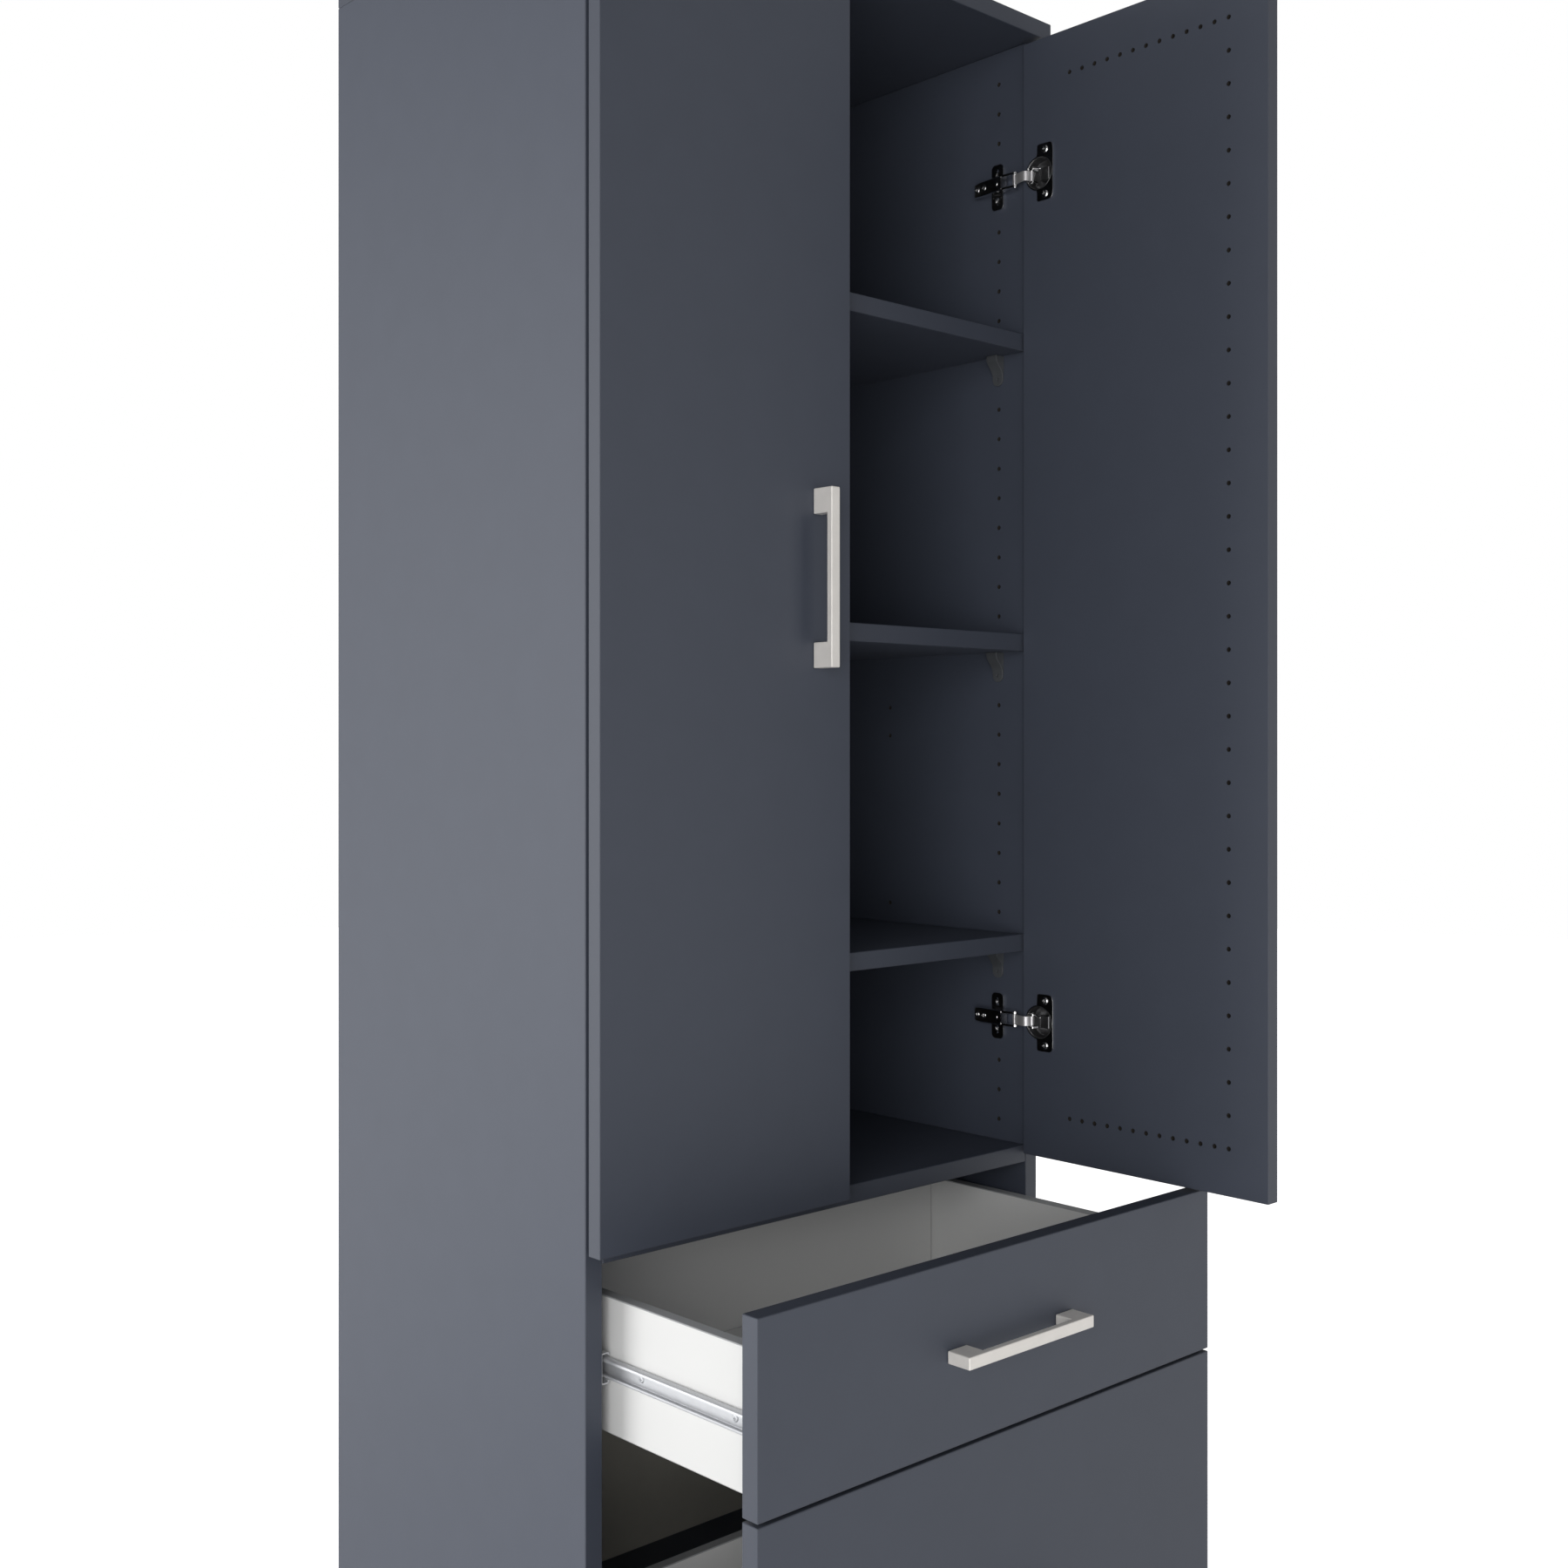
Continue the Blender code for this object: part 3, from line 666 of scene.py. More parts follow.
class Skin:
    """Closed surfaces gathered in one mesh."""

    def __init__(self) -> None:
        """Starts with nothing."""
        self.points: list[np.ndarray] = []
        self.faces: list[list[int]] = []
        self.count = 0

    def add(self, place: Place, rings: np.ndarray, looped: bool = False) -> "Skin":
        """Stitches rings into a tube with flat ends, or into a closed loop.

        Args:
            place: The local frame of the rings.
            rings: Array of rings by points by 3.
            looped: Whether the last ring joins the first one.

        Returns:
            The skin itself.
        """
        total, size = rings.shape[:2]
        index = self.count + np.arange(total * size).reshape(total, size)
        ahead, beside = np.roll(index, -1, axis=0), np.roll(index, -1, axis=1)
        corner = np.roll(ahead, -1, axis=1)
        quads = np.stack([index, beside, corner, ahead], axis=-1)
        self.faces += quads[: total if looped else total - 1].reshape(-1, 4).tolist()
        if not looped:
            self.faces += [index[0, ::-1].tolist(), index[-1].tolist()]
        self.points.append(place.points(rings.reshape(-1, 3)))
        self.count += total * size
        return self

    def make(self, name: str, body: str, slot: str, material: Material,
             bevel: float = 0.0, replaced: tuple[str, ...] = ()) -> bpy.types.Object:
        """Makes the piece and gives it to its body.

        Args:
            name: The piece's name.
            body: The body it rides on.
            slot: The record's material slot; not used.
            material: Its material.
            bevel: Width in millimetres of the rounding of its sharp edges.
            replaced: The CAD nodes it stands for.

        Returns:
            The new object.
        """
        mesh = bpy.data.meshes.new(name)
        mesh.from_pydata(np.concatenate(self.points), [], self.faces)
        shape = bmesh.new()
        shape.from_mesh(mesh)
        bmesh.ops.recalc_face_normals(shape, faces=shape.faces)
        shape.to_mesh(mesh)
        shape.free()
        mesh.shade_smooth()
        mesh.set_sharp_from_angle(angle=SHARP_ANGLE)
        mesh.materials.append(material)
        made = add_object(name, mesh)
        if bevel:
            rounding = made.modifiers.new("rounded_edges", "BEVEL")
            rounding.width = bevel * MM
            rounding.segments = 3
            rounding.limit_method = "ANGLE"
            rounding.angle_limit = SHARP_ANGLE
            rounding.harden_normals = True
        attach(made, body)
        if replaced:
            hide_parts(*replaced)
        LOG.info("%s on %s: %d faces", name, body, len(mesh.polygons))
        return made


def dress(node: str, material: Material) -> None:
    """Gives a carried-over CAD node its finish.

    Args:
        node: The CAD node.
        material: The finish made for it.
    """
    mesh = frame["nodes"][node].data
    mesh.materials.clear()
    mesh.materials.append(material)
    LOG.info("%s dressed in %s", node, material.name)


def axes_of(*directions: tuple[int, int, int]) -> np.ndarray:
    """The matrix of three axis directions."""
    return np.array(directions, float)


def corners_of(node: str) -> tuple[np.ndarray, np.ndarray]:
    """The lowest and highest corner of a CAD node's box, in metres."""
    low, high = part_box(node)
    return np.array(low), np.array(high)


# Sub-assemblies


@dataclass(frozen=True)
class Screw:
    """A pan-head screw with a cross recess, its head standing along the place's third axis."""

    radius: float = 3.6
    height: float = 1.7
    dome: tuple[Pair, ...] = ((0.97, -0.3), (1.0, 0.12), (0.97, 0.4), (0.88, 0.72), (0.72, 0.93),
                              (0.6, 1.0))
    recess_reach: float = 1.9
    recess_width: float = 0.45
    recess_depth: float = 1.0
    recess_taper: float = 0.75
    sides: int = 48

    def add_to(self, skin: Skin, place: Place) -> None:
        """Adds the head: circles up the dome, then the plus sign, first level and then sunk.

        The dome is given in shares of the radius and the height.

        Args:
            skin: The skin that takes the head.
            place: Where its seat is, with the third axis outwards.
        """
        dome = [(circle(self.radius * share, self.sides), self.height * rise) for share, rise in self.dome]
        plus = cross(self.recess_reach, self.recess_width, self.sides)
        sunk = [(plus, self.height), (plus * self.recess_taper, self.height - self.recess_depth)]
        skin.add(place, stations(dome + sunk))


WING_SCREW = Screw(radius=2.05, height=0.6, recess_reach=1.2, recess_width=0.3, recess_depth=0.5)
ARM_SCREW = Screw(radius=3.5, height=1.1)
CUP_SCREW = Screw(radius=3.9, height=1.3)
RUNNER_SCREW = Screw(radius=3.2, height=1.2, recess_reach=1.7)
BACK_SCREW = Screw(radius=3.4, height=1.4)


@dataclass
class Handle:
    """A square bar on two feet, in one bent piece with softened edges."""

    node: str
    body: str
    length_axis: Axis
    outwards: tuple[int, int, int]
    foot: float = 24.0
    bar: float = 6.7
    bevel: float = 1.1

    def build(self) -> None:
        """Makes the handle in its node's box: the U outline along the bar, drawn out across it."""
        low, high = corners_of(self.node)
        size = (high - low) / MM
        out = np.array(self.outwards, float)
        along = np.eye(3)[self.length_axis.value]
        across = np.cross(along, out)
        start = np.where(out > 0, low, np.where(out < 0, high, (low + high) / 2))
        half = size @ along / 2
        reach = size @ np.abs(out)
        width = size @ np.abs(across)
        inner = half - self.foot
        under = reach - self.bar
        outline = np.array([(-half, 0), (-half, reach), (half, reach), (half, 0),
                            (inner, 0), (inner, under), (-inner, under), (-inner, 0)])
        place = Place(start, np.stack([along, out, across]))
        finish = BRUSHED_NICKEL[self.length_axis].material()
        skin = Skin().add(place, prism(outline, -width / 2, width / 2))
        skin.make("bar_" + self.node, self.body, "brushed_nickel", finish, self.bevel, (self.node,))


@dataclass
class HingePart:
    """One part of a concealed cup hinge, with the local frames that its sizes are given in.

    On the carcass, u runs from the side panel inwards, v forward of the carcass front and z up from the
    hinge's middle. On the door, e runs from the hinge edge, z up and n outwards from the inner face.
    """

    side: Side
    level: Level
    gap: float = 0.3
    arm_rear: float = 67.0
    fork_inner: float = 5.8

    @property
    def tag(self) -> str:
        """The hinge's name as the nodes spell it."""
        return f"{self.side.label}_{self.level.value}"

    @property
    def leaf(self) -> str:
        """The door's name as its node and its body spell it."""
        return "door_" + self.side.label

    @property
    def carcass(self) -> Place:
        """The carcass frame.

        Returns:
            The frame with the axes u, v and z.
        """
        low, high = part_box("hinge_arm_" + self.tag)
        hand = self.side.value
        wall = (high.x if hand > 0 else low.x) + hand * self.gap * MM
        origin = np.array([wall, high.y - self.arm_rear * MM, (low.z + high.z) / 2])
        return Place(origin, axes_of((-hand, 0, 0), (0, -1, 0), (0, 0, 1)))

    @property
    def door(self) -> Place:
        """The door frame at rest, when the right door is open and the left one shut.

        Returns:
            The frame with the axes e, z and n.
        """
        low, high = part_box(self.leaf)
        along, outwards = ((0, -1, 0), (1, 0, 0)) if self.side is Side.RIGHT else ((1, 0, 0), (0, -1, 0))
        origin = np.array([low.x, high.y, self.carcass.origin[2]])
        return Place(origin, axes_of(along, (0, 0, 1), outwards))


@dataclass
class HingeArm(HingePart):
    """The cross-shaped plate with slotted wings, and the domed arm on it that ends in a fork."""

    plate_setback: float = 37.0
    plate_half: float = 8.0
    wing_start: float = 5.0
    wing_reach: float = 24.5
    wing_corner: float = 4.8
    wing_thickness: float = 2.2
    slot: Pair = (2.2, 4.2)
    slot_height: float = 15.2
    slot_round: float = 2.15
    screw_height: float = 14.6
    screw_seat: float = 1.0
    base_rear: float = 65.0
    base_front: float = 11.0
    base_half: float = 6.3
    base_corner: float = 3.0
    base_top: float = 5.2
    sections: tuple[tuple[float, ...], ...] = (
        (-67.0, 5.6, 3.4, 6.4), (-65.0, 6.6, 3.0, 8.2), (-61.5, 7.5, 2.6, 10.4), (-52.0, 7.9, 2.4, 11.6),
        (-38.0, 7.9, 2.4, 12.8), (-26.0, 7.9, 2.6, 13.2), (-23.5, 7.7, 3.0, 12.9))
    section_corner: float = 1.6
    screws: tuple[Pair, ...] = ((-58.6, 10.6), (-48.5, 11.5))
    button_place: Pair = (-30.5, 12.5)
    button: tuple[Pair, ...] = ((2.4, 0.0), (2.4, 0.7), (2.1, 0.95), (0.4, 1.0))
    cheek_rear: tuple[Pair, ...] = ((-25.0, 4.4), (-25.0, 12.6), (-17.0, 12.3))
    cheek_under: Pair = (-16.0, 4.5)
    cheek_outer: float = 7.9
    pivot: Pair = (8.0, -8.0)
    nose: float = 3.5
    nose_turn: Pair = (80.0, -100.0)
    pin: Pin = Pin(1.6, (0.5, 0.3))
    pin_reach: float = 8.6
    bevel: float = 0.35

    def build(self) -> None:
        """Makes the plate, the arm, its fork, the screws and the pin as one piece."""
        skin = Skin()
        carcass = self.carcass
        plate = carcass.ordered(1, 2, 0)
        for way in (1, -1):
            self.add_wing(skin, plate, way)
        base = rounded((-self.base_rear, -self.base_half),
                       (self.base_front - self.plate_setback, self.base_half), self.base_corner)
        skin.add(plate, prism(base, self.gap, self.base_top))
        skin.add(carcass.ordered(2, 0, 1), self.arm_rings())
        for along, top in self.screws:
            ARM_SCREW.add_to(skin, plate.moved(along, 0.0, top))
        along, top = self.button_place
        skin.add(plate.moved(along, 0.0, top), turned(list(self.button), 24))
        u, v = self.pivot
        turn = np.radians(np.linspace(*self.nose_turn, 14))
        nose = np.array([v, u]) + self.nose * np.stack([np.cos(turn), np.sin(turn)], axis=1)
        cheek = np.concatenate([self.cheek_rear, nose, [self.cheek_under]])
        for way in (1, -1):
            skin.add(carcass.ordered(1, 0, 2), prism(cheek, way * self.fork_inner, way * self.cheek_outer))
        skin.add(carcass.moved(u, v, 0.0), self.pin.rings(-self.pin_reach, self.pin_reach))
        skin.make("plate_and_arm_" + self.tag, "carcass", "polished_nickel", BRIGHT_NICKEL.material(),
                  self.bevel, ("hinge_arm_" + self.tag,))

    def add_wing(self, skin: Skin, plate: Place, way: int) -> None:
        """Adds a wing: a rounded rectangle with a slot, and its screw.

        Args:
            skin: The skin that takes it.
            plate: The frame with the axes v, z and u.
            way: 1 for the wing above the arm, -1 for the one below.
        """
        middle = -self.plate_setback
        half, reach = self.slot
        wing = rounded((middle - self.plate_half, self.wing_start),
                       (middle + self.plate_half, self.wing_reach), self.wing_corner)
        hole = rounded((middle - half, self.slot_height - reach),
                       (middle + half, self.slot_height + reach), self.slot_round)
        rings = plate_with_hole(even(wing) * (1, way), even(hole) * (1, way),
                                self.gap, self.gap + self.wing_thickness)
        skin.add(plate, rings, looped=True)
        WING_SCREW.add_to(skin, plate.moved(middle, way * self.screw_height, self.screw_seat))

    def arm_rings(self) -> np.ndarray:
        """Rounded sections along v: place, half width, underside and crest of each."""
        return stations([(rounded((-half, under), (half, crest), self.section_corner), v)
                         for v, half, under, crest in self.sections])


@dataclass
class HingeLink(HingePart):
    """The bent strip between the two pivots, with a barrel round each pin.

    Its bends are given along and across the line from the arm's pivot to the cup's.
    """

    bends: tuple[Pair, ...] = ((8.86, -5.53), (17.23, -7.49))
    bend_radius: float = 3.5
    half: float = 5.1
    thickness: float = 2.2
    barrel: Pin = Pin(2.35, (0.35, 0.4), 28)
    barrel_play: float = 0.3
    barrel_excess: float = 0.1
    bevel: float = 0.3

    def build(self) -> None:
        """Makes the strip from its centre line, drawn out along z, and the two barrels."""
        carcass = self.carcass
        start = joint_point(f"link_{self.tag}_pivot")
        end = joint_point(f"door_{self.side.label}_swing")
        start[2] = end[2] = carcass.origin[2]
        length = np.linalg.norm(end - start) / MM
        along = (end - start) / np.linalg.norm(end - start)
        forward = carcass.axes[:2] @ along
        across = carcass.axes[:2].T @ np.array([-forward[1], forward[0]])
        place = Place(start, np.stack([along, across, carcass.axes[2]]))
        line = bent_line([(0.0, 0.0), *self.bends, (length, 0.0)], self.bend_radius)
        skin = Skin().add(place, prism(band_outline(line, self.thickness), -self.half, self.half))
        halves = (self.fork_inner - self.barrel_play, self.half + self.barrel_excess)
        for centre, half in zip((0.0, length), halves):
            skin.add(place.moved(centre, 0.0, 0.0), self.barrel.rings(-half, half))
        skin.make("link_arm_" + self.tag, "link_" + self.tag, "polished_nickel", SATIN_NICKEL.material(),
                  self.bevel, ("hinge_link_" + self.tag,))


@dataclass
class HingeCup(HingePart):
    """The dish sunk in the door and its buffer, and the fittings round it that hold the link's pin."""

    centre: float = 22.5
    radius: float = 17.4
    depth: float = 11.9
    wall: float = 1.1
    rim: float = -1.7
    rim_lean: Pair = (0.1, 0.2)
    middle: float = 0.4
    bend: float = 3.0
    bend_inner: Pair = (0.8, 0.9)
    bend_outer: float = 1.5
    flange_far: float = 18.5
    flange_near: float = 2.5
    flange_half: float = 30.0
    flange_power: float = 10.0
    flange_ring: float = 0.6
    flange_face: float = -1.5
    flange_back: float = -0.15
    pivot: Pair = (9.644, 2.5)
    cheek_low: Pair = (-2.6, -0.9)
    cheek_high: Pair = (4.4, 9.0)
    cheek_sides: Pair = (5.6, 7.6)
    cheek_corner: float = 1.6
    screw_place: Pair = (30.5, 23.5)
    pin: Pin = Pin(1.45, (0.45, 0.4))
    pin_reach: float = 8.1
    buffer: Pair = (9.0, 22.0)
    buffer_top: float = 4.2
    buffer_gap: float = 0.2
    buffer_corner: float = 1.8
    buffer_half: float = 6.5
    spring_start: Triple = (2.5, 8.4, 0.4)
    spring_end: Triple = (14.5, 4.6, -0.6)
    spring: Pin = Pin(0.9, (0.36, 0.45), 20)
    bevel: float = 0.3
    dish_bevel: float = 0.2

    def build(self) -> None:
        """Makes the dish, and then the fittings."""
        self.build_dish()
        self.build_fittings()

    def build_dish(self) -> None:
        """The dish, turned from its wall's profile, inside first, and the buffer at its bottom."""
        door = self.door
        outer, inner = self.radius, self.radius - self.wall
        deep = self.depth - self.wall
        lean_in, lean_out = self.rim_lean
        profile = [(self.middle, deep), (inner - self.bend, deep),
                   (inner - self.bend_inner[0], deep - self.bend_inner[1]), (inner, deep - self.bend),
                   (inner + lean_in, self.rim), (outer - lean_out, self.rim), (outer, 0.0),
                   (outer, self.depth - self.bend_outer), (outer - self.bend_outer, self.depth),
                   (self.middle, self.depth)]
        skin = Skin().add(door.moved(self.centre, 0.0, 0.0), turned(profile, 64))
        start, end = self.buffer
        buffer = rounded((self.pivot[0] + start, self.buffer_top),
                         (self.pivot[0] + end, deep - self.buffer_gap), self.buffer_corner)
        skin.add(door.ordered(0, 2, 1), prism(buffer, -self.buffer_half, self.buffer_half))
        # The dish and its buffer take the darkened cup steel, painted shade inside the cup.
        skin.make("dish_" + self.tag, self.leaf, "polished_nickel", SHADED_CUP_STEEL.material(), self.dish_bevel)

    def build_fittings(self) -> None:
        """The flange with its screws, the two cheeks that hold the pin, the pin and the spring rod."""
        door = self.door
        across = door.ordered(0, 2, 1)
        e, n = self.pivot
        skin = Skin().add(door.moved(self.centre, 0.0, 0.0), self.flange_rings(), looped=True)
        cheek = rounded((e + self.cheek_low[0], self.cheek_low[1]),
                        (e + self.cheek_high[0], self.cheek_high[1]), self.cheek_corner)
        for way in (1, -1):
            near, far = self.cheek_sides
            skin.add(across, prism(cheek, way * near, way * far))
            along, aside = self.screw_place
            seat = door.moved(along, way * aside, self.flange_face)
            CUP_SCREW.add_to(skin, Place(seat.origin, door.axes * np.array([[1], [1], [-1]])))
        skin.add(across.moved(e, n, 0.0), self.pin.rings(-self.pin_reach, self.pin_reach))
        skin.add(self.spring_place(), self.spring.rings(0.0, self.spring_length))
        skin.make("cup_and_flange_" + self.tag, self.leaf, "polished_nickel", BRIGHT_NICKEL.material(),
                  self.bevel, ("hinge_cup_" + self.tag,))

    @property
    def spring_length(self) -> float:
        """The length of the spring's rod."""
        return math.dist(self.spring_start, self.spring_end)

    def spring_place(self) -> Place:
        """The frame of the spring's rod, whose ends are given from the pin's e.

        Returns:
            The frame, with the third axis along the rod.
        """
        first, last = (self.door.points(np.array([self.pivot[0] + e, z, n]))
                       for e, z, n in (self.spring_start, self.spring_end))
        along = (last - first) / (self.spring_length * MM)
        side = np.cross(along, np.eye(3)[np.argmin(np.abs(along))])
        side /= np.linalg.norm(side)
        return Place(first, np.stack([side, np.cross(along, side), along]))

    def flange_rings(self) -> np.ndarray:
        """The flange round the dish.

        At each angle its edge is the farther of a circle just outside the dish and a superellipse that
        stands in for a rounded rectangle, reaching farther on the side of the door's middle.

        Returns:
            Looped rings of the plate.
        """
        across, up = circle(1.0, 160).T
        reach = np.where(across > 0, self.flange_far, self.flange_near)
        terms = np.abs([across / reach, up / self.flange_half]) ** self.flange_power
        plate = terms.sum(axis=0) ** (-1 / self.flange_power)
        edge = polar(np.maximum(plate, self.radius + self.flange_ring))
        hole = circle(self.radius - self.wall, 160)
        return plate_with_hole(edge, hole, self.flange_face, self.flange_back)


def joint_point(name: str) -> np.ndarray:
    """The place of a joint at rest, in metres."""
    return np.array(next(joint["pos_m"] for joint in frame["joints"] if joint["name"] == name), float)


@dataclass
class Runner:
    """One member of a drawer runner: a rolled channel whose flanges end in small lips, with its screws."""

    node: str
    body: str
    web_inside: bool
    metal: float = 1.2
    lip: float = 2.4
    bend: float = 1.8
    screw_places: tuple[float, ...] = (0.12, 0.52, 0.9)
    bevel: float = 0.25

    def build(self) -> None:
        """Carries the channel's bent strip along Y through the node's box and sets screws in its web."""
        low, high = corners_of(self.node)
        hand = math.copysign(1.0, low[0])
        near, far = sorted((abs(low[0]), abs(high[0])))
        web, way = (near, 1.0) if self.web_inside else (far, -1.0)
        middle = np.array([hand * web, low[1], (low[2] + high[2]) / 2])
        place = Place(middle, axes_of((int(hand * way), 0, 0), (0, 0, 1), (0, 1, 0)))
        depth, length, height = (far - near) / MM, (high[1] - low[1]) / MM, (high[2] - low[2]) / MM
        inset = self.metal / 2
        reach, level = depth - inset, height / 2 - inset
        corners = [(reach, self.lip - level), (reach, -level), (inset, -level), (inset, level),
                   (reach, level), (reach, level - self.lip)]
        line = bent_line(corners, self.bend)
        skin = Skin().add(place, prism(band_outline(line, self.metal), 0.0, length))
        face = place.ordered(1, 2, 0)
        for share in self.screw_places:
            RUNNER_SCREW.add_to(skin, face.moved(0.0, length * share, self.metal))
        skin.make("channel_" + self.node, self.body, "zinc_steel", ZINC.material(), self.bevel,
                  (self.node,))


@dataclass
class ShelfSupport:
    """A clip-in nylon support: a leaf with a round lower end and an eye, and a sloping gusset over it."""

    node: str
    top: float = 24.7
    leaf: float = 2.4
    leaf_gap: float = 0.3
    leaf_drop: float = 0.5
    foot_share: float = 0.93
    eye: float = 1.5
    sides: int = 72
    gusset_start: float = 2.7
    gusset_back: float = 0.5
    gusset_inset: float = 0.4
    gusset_overlap: float = 0.3
    slope: Pair = (0.7, 4.5)
    slope_bend: float = 4.0
    nose: float = 5.5
    pin_length: float = 8.0
    pin: tuple[Pair, ...] = ((1.6, -7.8), (2.1, -7.0), (2.1, 0.5))
    bevel: float = 0.4

    def build(self) -> None:
        """Makes the leaf from its outline, and the gusset from a profile that is drawn out along Y."""
        low, high = corners_of(self.node)
        hand = math.copysign(1.0, low[0])
        near, far = sorted((abs(low[0]), abs(high[0])))
        wall = far - self.pin_length * MM
        half, reach = (high[1] - low[1]) / MM / 2, (wall - near) / MM
        origin = np.array([hand * wall, (low[1] + high[1]) / 2, high[2] - self.top * MM])
        place = Place(origin, axes_of((-int(hand), 0, 0), (0, 1, 0), (0, 0, 1)))
        skin = Skin().add(place.ordered(1, 2, 0), self.leaf_rings(half), looped=True)
        skin.add(place.ordered(0, 2, 1), prism(self.gusset_profile(reach), -half + self.gusset_inset,
                                               half - self.gusset_inset))
        skin.add(place.ordered(1, 2, 0), turned(list(self.pin), 24))
        skin.make("moulded_" + self.node, "carcass", "dark_plastic", NYLON.material(), self.bevel,
                  (self.node,))

    def leaf_rings(self, half: float) -> np.ndarray:
        """The leaf: a half circle below, straight sides above, and the eye at the half circle's middle.

        Args:
            half: Half the support's width.

        Returns:
            Looped rings of the leaf.
        """
        turn = np.linspace(math.pi, 2 * math.pi, 24)
        foot = half * self.foot_share * np.stack([np.cos(turn), np.sin(turn)], axis=1)
        level = self.top - self.leaf_drop
        outline = np.concatenate([[(half, level), (-half, level)], foot])
        eye = np.roll(circle(self.eye, self.sides), self.sides // 2, axis=0)
        return plate_with_hole(even(outline, self.sides), eye, self.leaf_gap, self.leaf)

    def gusset_profile(self, reach: float) -> np.ndarray:
        """The gusset's outline: up the back, along the top and down a slope to the leaf.

        Args:
            reach: How far it stands from the side panel.

        Returns:
            The outline.
        """
        start, top = self.gusset_start, self.top
        run, rise = self.slope
        slope = bent_line([(self.leaf - self.gusset_overlap, start), (self.leaf + run, start + rise),
                           (reach, top - self.nose), (reach, top)], self.slope_bend)
        return np.concatenate([[(self.gusset_back, start)], slope, [(self.gusset_back, top)]])


@dataclass
class BackFixings:
    """The small screws that hold the back panel to the boards."""

    columns: int = 4
    rows: int = 9
    inset: float = 9.0

    def build(self) -> None:
        """Sets the screw heads at even steps round the back panel's border."""
        low, high = corners_of("back_panel")
        place = Place(np.array([low[0], high[1], low[2]]), axes_of((1, 0, 0), (0, 0, 1), (0, 1, 0)))
        width, height = (high[0] - low[0]) / MM, (high[2] - low[2]) / MM
        across = np.linspace(self.inset, width - self.inset, self.columns)
        up = np.linspace(self.inset, height - self.inset, self.rows)
        skin = Skin()
        for x in across:
            for z in (up if x in (across[0], across[-1]) else up[[0, -1]]):
                BACK_SCREW.add_to(skin, place.moved(x, z, 0.0))
        skin.make("back_screws", "carcass", "zinc_steel", ZINC.material())


@dataclass
class Carcass:
    """Sides, top, middle, bottom, back with its screws, plinth, and shelves with their supports."""

    boards: tuple[str, ...] = ("side_panel_left", "side_panel_right", "top_panel", "middle_panel",
                               "bottom_panel", "plinth", "shelf_upper", "shelf_middle", "shelf_lower")

    def build(self) -> None:
        """Dresses the boards; each finish is laid out on its board's own box."""
        for node in self.boards:
            dress(node, ANTHRACITE.material(node))
        dress("back_panel", BACK.material("back_panel"))
        BackFixings().build()
        for node in sorted(frame["nodes"]):
            if node.startswith("support_"):
                ShelfSupport(node).build()


@dataclass
class Door:
    """One door: its leaf, its handle and its two hinges."""

    side: Side

    def build(self) -> None:
        """Dresses the leaf, and makes its handle and its hinges."""
        node = "door_" + self.side.label
        dress(node, ANTHRACITE.material(node))
        outwards = (1, 0, 0) if self.side is Side.RIGHT else (0, -1, 0)
        Handle("handle_" + node, node, Axis.Z, outwards).build()
        for level in Level:
            for part in (HingeArm, HingeLink, HingeCup):
                part(self.side, level).build()


@dataclass
class Drawer:
    """A drawer: its front, box, handle and runners."""

    level: Level

    def build(self) -> None:
        """Dresses the front and the box, and makes the handle and the runners."""
        name = "drawer_" + self.level.value
        dress(name + "_front", ANTHRACITE.material(name + "_front"))
        for part in ("side_left", "side_right", "back", "bottom"):
            node = f"{name}_{part}"
            dress(node, WHITE.material(node))
        Handle("handle_" + name, name, Axis.X, (0, -1, 0)).build()
        for side in Side:
            Runner(f"runner_fixed_{self.level.value}_{side.label}", "carcass", web_inside=False).build()
            Runner(f"runner_sliding_{self.level.value}_{side.label}", name, web_inside=True).build()


@dataclass(frozen=True)
class Lamp:
    """A soft rectangular light that the camera doesn't see. Places and sizes are metres."""

    name: str
    place: Triple
    target: Triple
    size: Pair
    watts: float
    diffuse: bool = True

    def build(self) -> None:
        """Makes the light and turns it towards its target."""
        light = bpy.data.lights.new(self.name, "AREA")
        light.shape = "RECTANGLE"
        light.size, light.size_y = self.size
        light.energy = self.watts
        made = add_object(self.name, light)
        made.location = self.place
        made.rotation_euler = (Vector(self.target) - Vector(self.place)).to_track_quat("-Z", "Y").to_euler()
        made.visible_camera = False
        made.visible_diffuse = self.diffuse


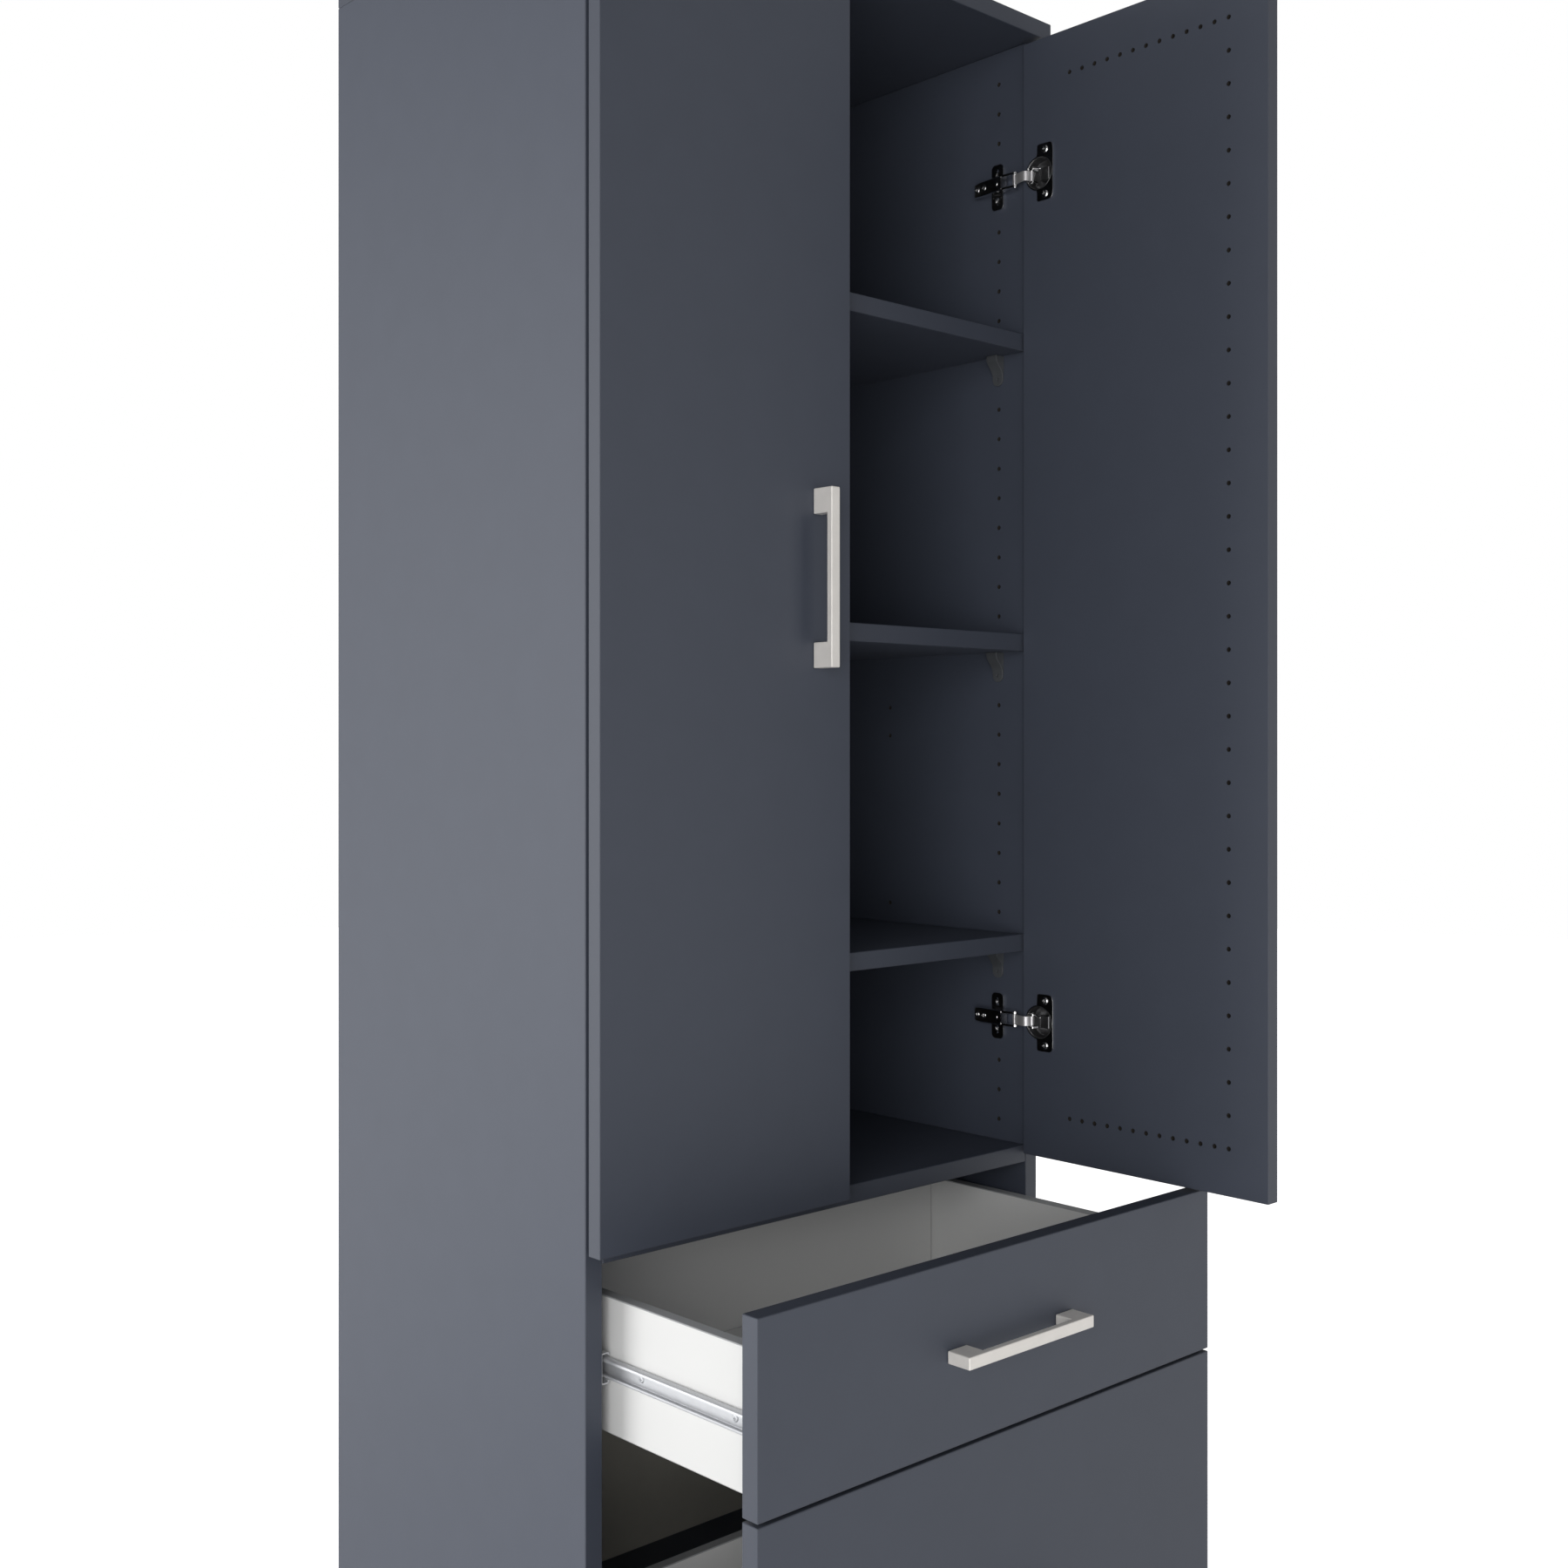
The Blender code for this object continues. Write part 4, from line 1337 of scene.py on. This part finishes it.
@dataclass
class Studio:
    """Floor, backdrop, lights and camera. Places and sizes are metres."""

    camera_place: Triple = (-1.22368, -1.29386, 1.02695)
    camera_turn: float = -42.877
    lens: float = 41.34
    shift_up: float = -0.022
    floor_reach: float = 9.0
    floor_cloud: float = 400.0
    floor_tones: Pair = (0.88, 0.93)
    floor_roughness: float = 0.8
    floor_glow: float = 0.8
    glow_start: float = 0.5
    glow_end: float = 6.0
    surround: float = 0.25
    lamps: tuple[Lamp, ...] = (
        Lamp("key", (-3.3, 2.3, 1.3), (0.0, 0.0, 0.9), (2.4, 2.4), 98.0),
        Lamp("fill", (-3.1, -2.3, 1.3), (0.0, -0.2, 0.9), (2.4, 2.4), 62.0),
        Lamp("bounce", (-1.5, -1.9, 0.05), (0.0, -0.1, 1.3), (2.0, 2.0), 12.0),
        Lamp("sheen", (2.7, -2.9, 1.0), (0.0, -0.25, 1.0), (3.0, 5.0), 40.0, diffuse=False),
    )

    def build(self) -> None:
        """Makes the floor, the world, the lights and the camera."""
        self.make_floor()
        self.make_world()
        for lamp in self.lamps:
            lamp.build()
        self.make_camera()

    def make_floor(self) -> None:
        """A pale round floor with faint cloudy variation, lit from within and more so far away.

        The glow rises with the square of the distance from the middle.
        """
        graph = Graph("floor")
        dark, light = self.floor_tones
        colour = graph.blend(graph.noise(self.floor_cloud, 3.0), (dark,) * 3, (light,) * 3)
        x, y, _ = graph.parts(graph.position())
        far = (x * x + y * y).rises(self.glow_start, self.glow_end)
        glow = graph.blend(far, (self.floor_glow,) * 3, (1.0,) * 3)
        material = graph.finish(base_color=colour, roughness=self.floor_roughness, emission_color=glow,
                                emission_strength=1.0)
        rim = circle(self.floor_reach, 64)
        mesh = bpy.data.meshes.new("floor")
        mesh.from_pydata(np.column_stack([rim, np.zeros(len(rim))]), [], [list(range(len(rim)))])
        mesh.materials.append(material)
        floor = add_object("floor", mesh)
        floor.visible_diffuse = False

    def make_world(self) -> None:
        """A white backdrop to the eye that lights the cabinet only softly."""
        world = bpy.data.worlds.new("studio")
        world.use_nodes = True
        nodes, links = world.node_tree.nodes, world.node_tree.links
        background = nodes["Background"]
        seen = nodes.new("ShaderNodeLightPath")
        strength = nodes.new("ShaderNodeMapRange")
        strength.inputs["To Min"].default_value = self.surround
        strength.inputs["To Max"].default_value = 1.0
        links.new(seen.outputs["Is Camera Ray"], strength.inputs["Value"])
        links.new(strength.outputs["Result"], background.inputs["Strength"])
        background.inputs["Color"].default_value = (1.0, 1.0, 1.0, 1.0)
        bpy.context.scene.world = world

    def make_camera(self) -> None:
        """The camera, level, at about the height of the handles."""
        data = bpy.data.cameras.new("camera")
        data.lens = self.lens
        data.shift_y = self.shift_up
        made = add_object("camera", data)
        made.location = self.camera_place
        made.rotation_euler = (math.radians(90), 0, math.radians(self.camera_turn))
        bpy.context.scene.camera = made
        bpy.context.scene.view_settings.view_transform = "Standard"


def main() -> None:
    """Builds the studio and the cabinet's sub-assemblies in order."""
    logging.basicConfig(level=logging.INFO, format="%(message)s")
    Studio().build()
    Carcass().build()
    for side in Side:
        Door(side).build()
    for level in Level:
        Drawer(level).build()


if __name__ == "__main__":
    main()
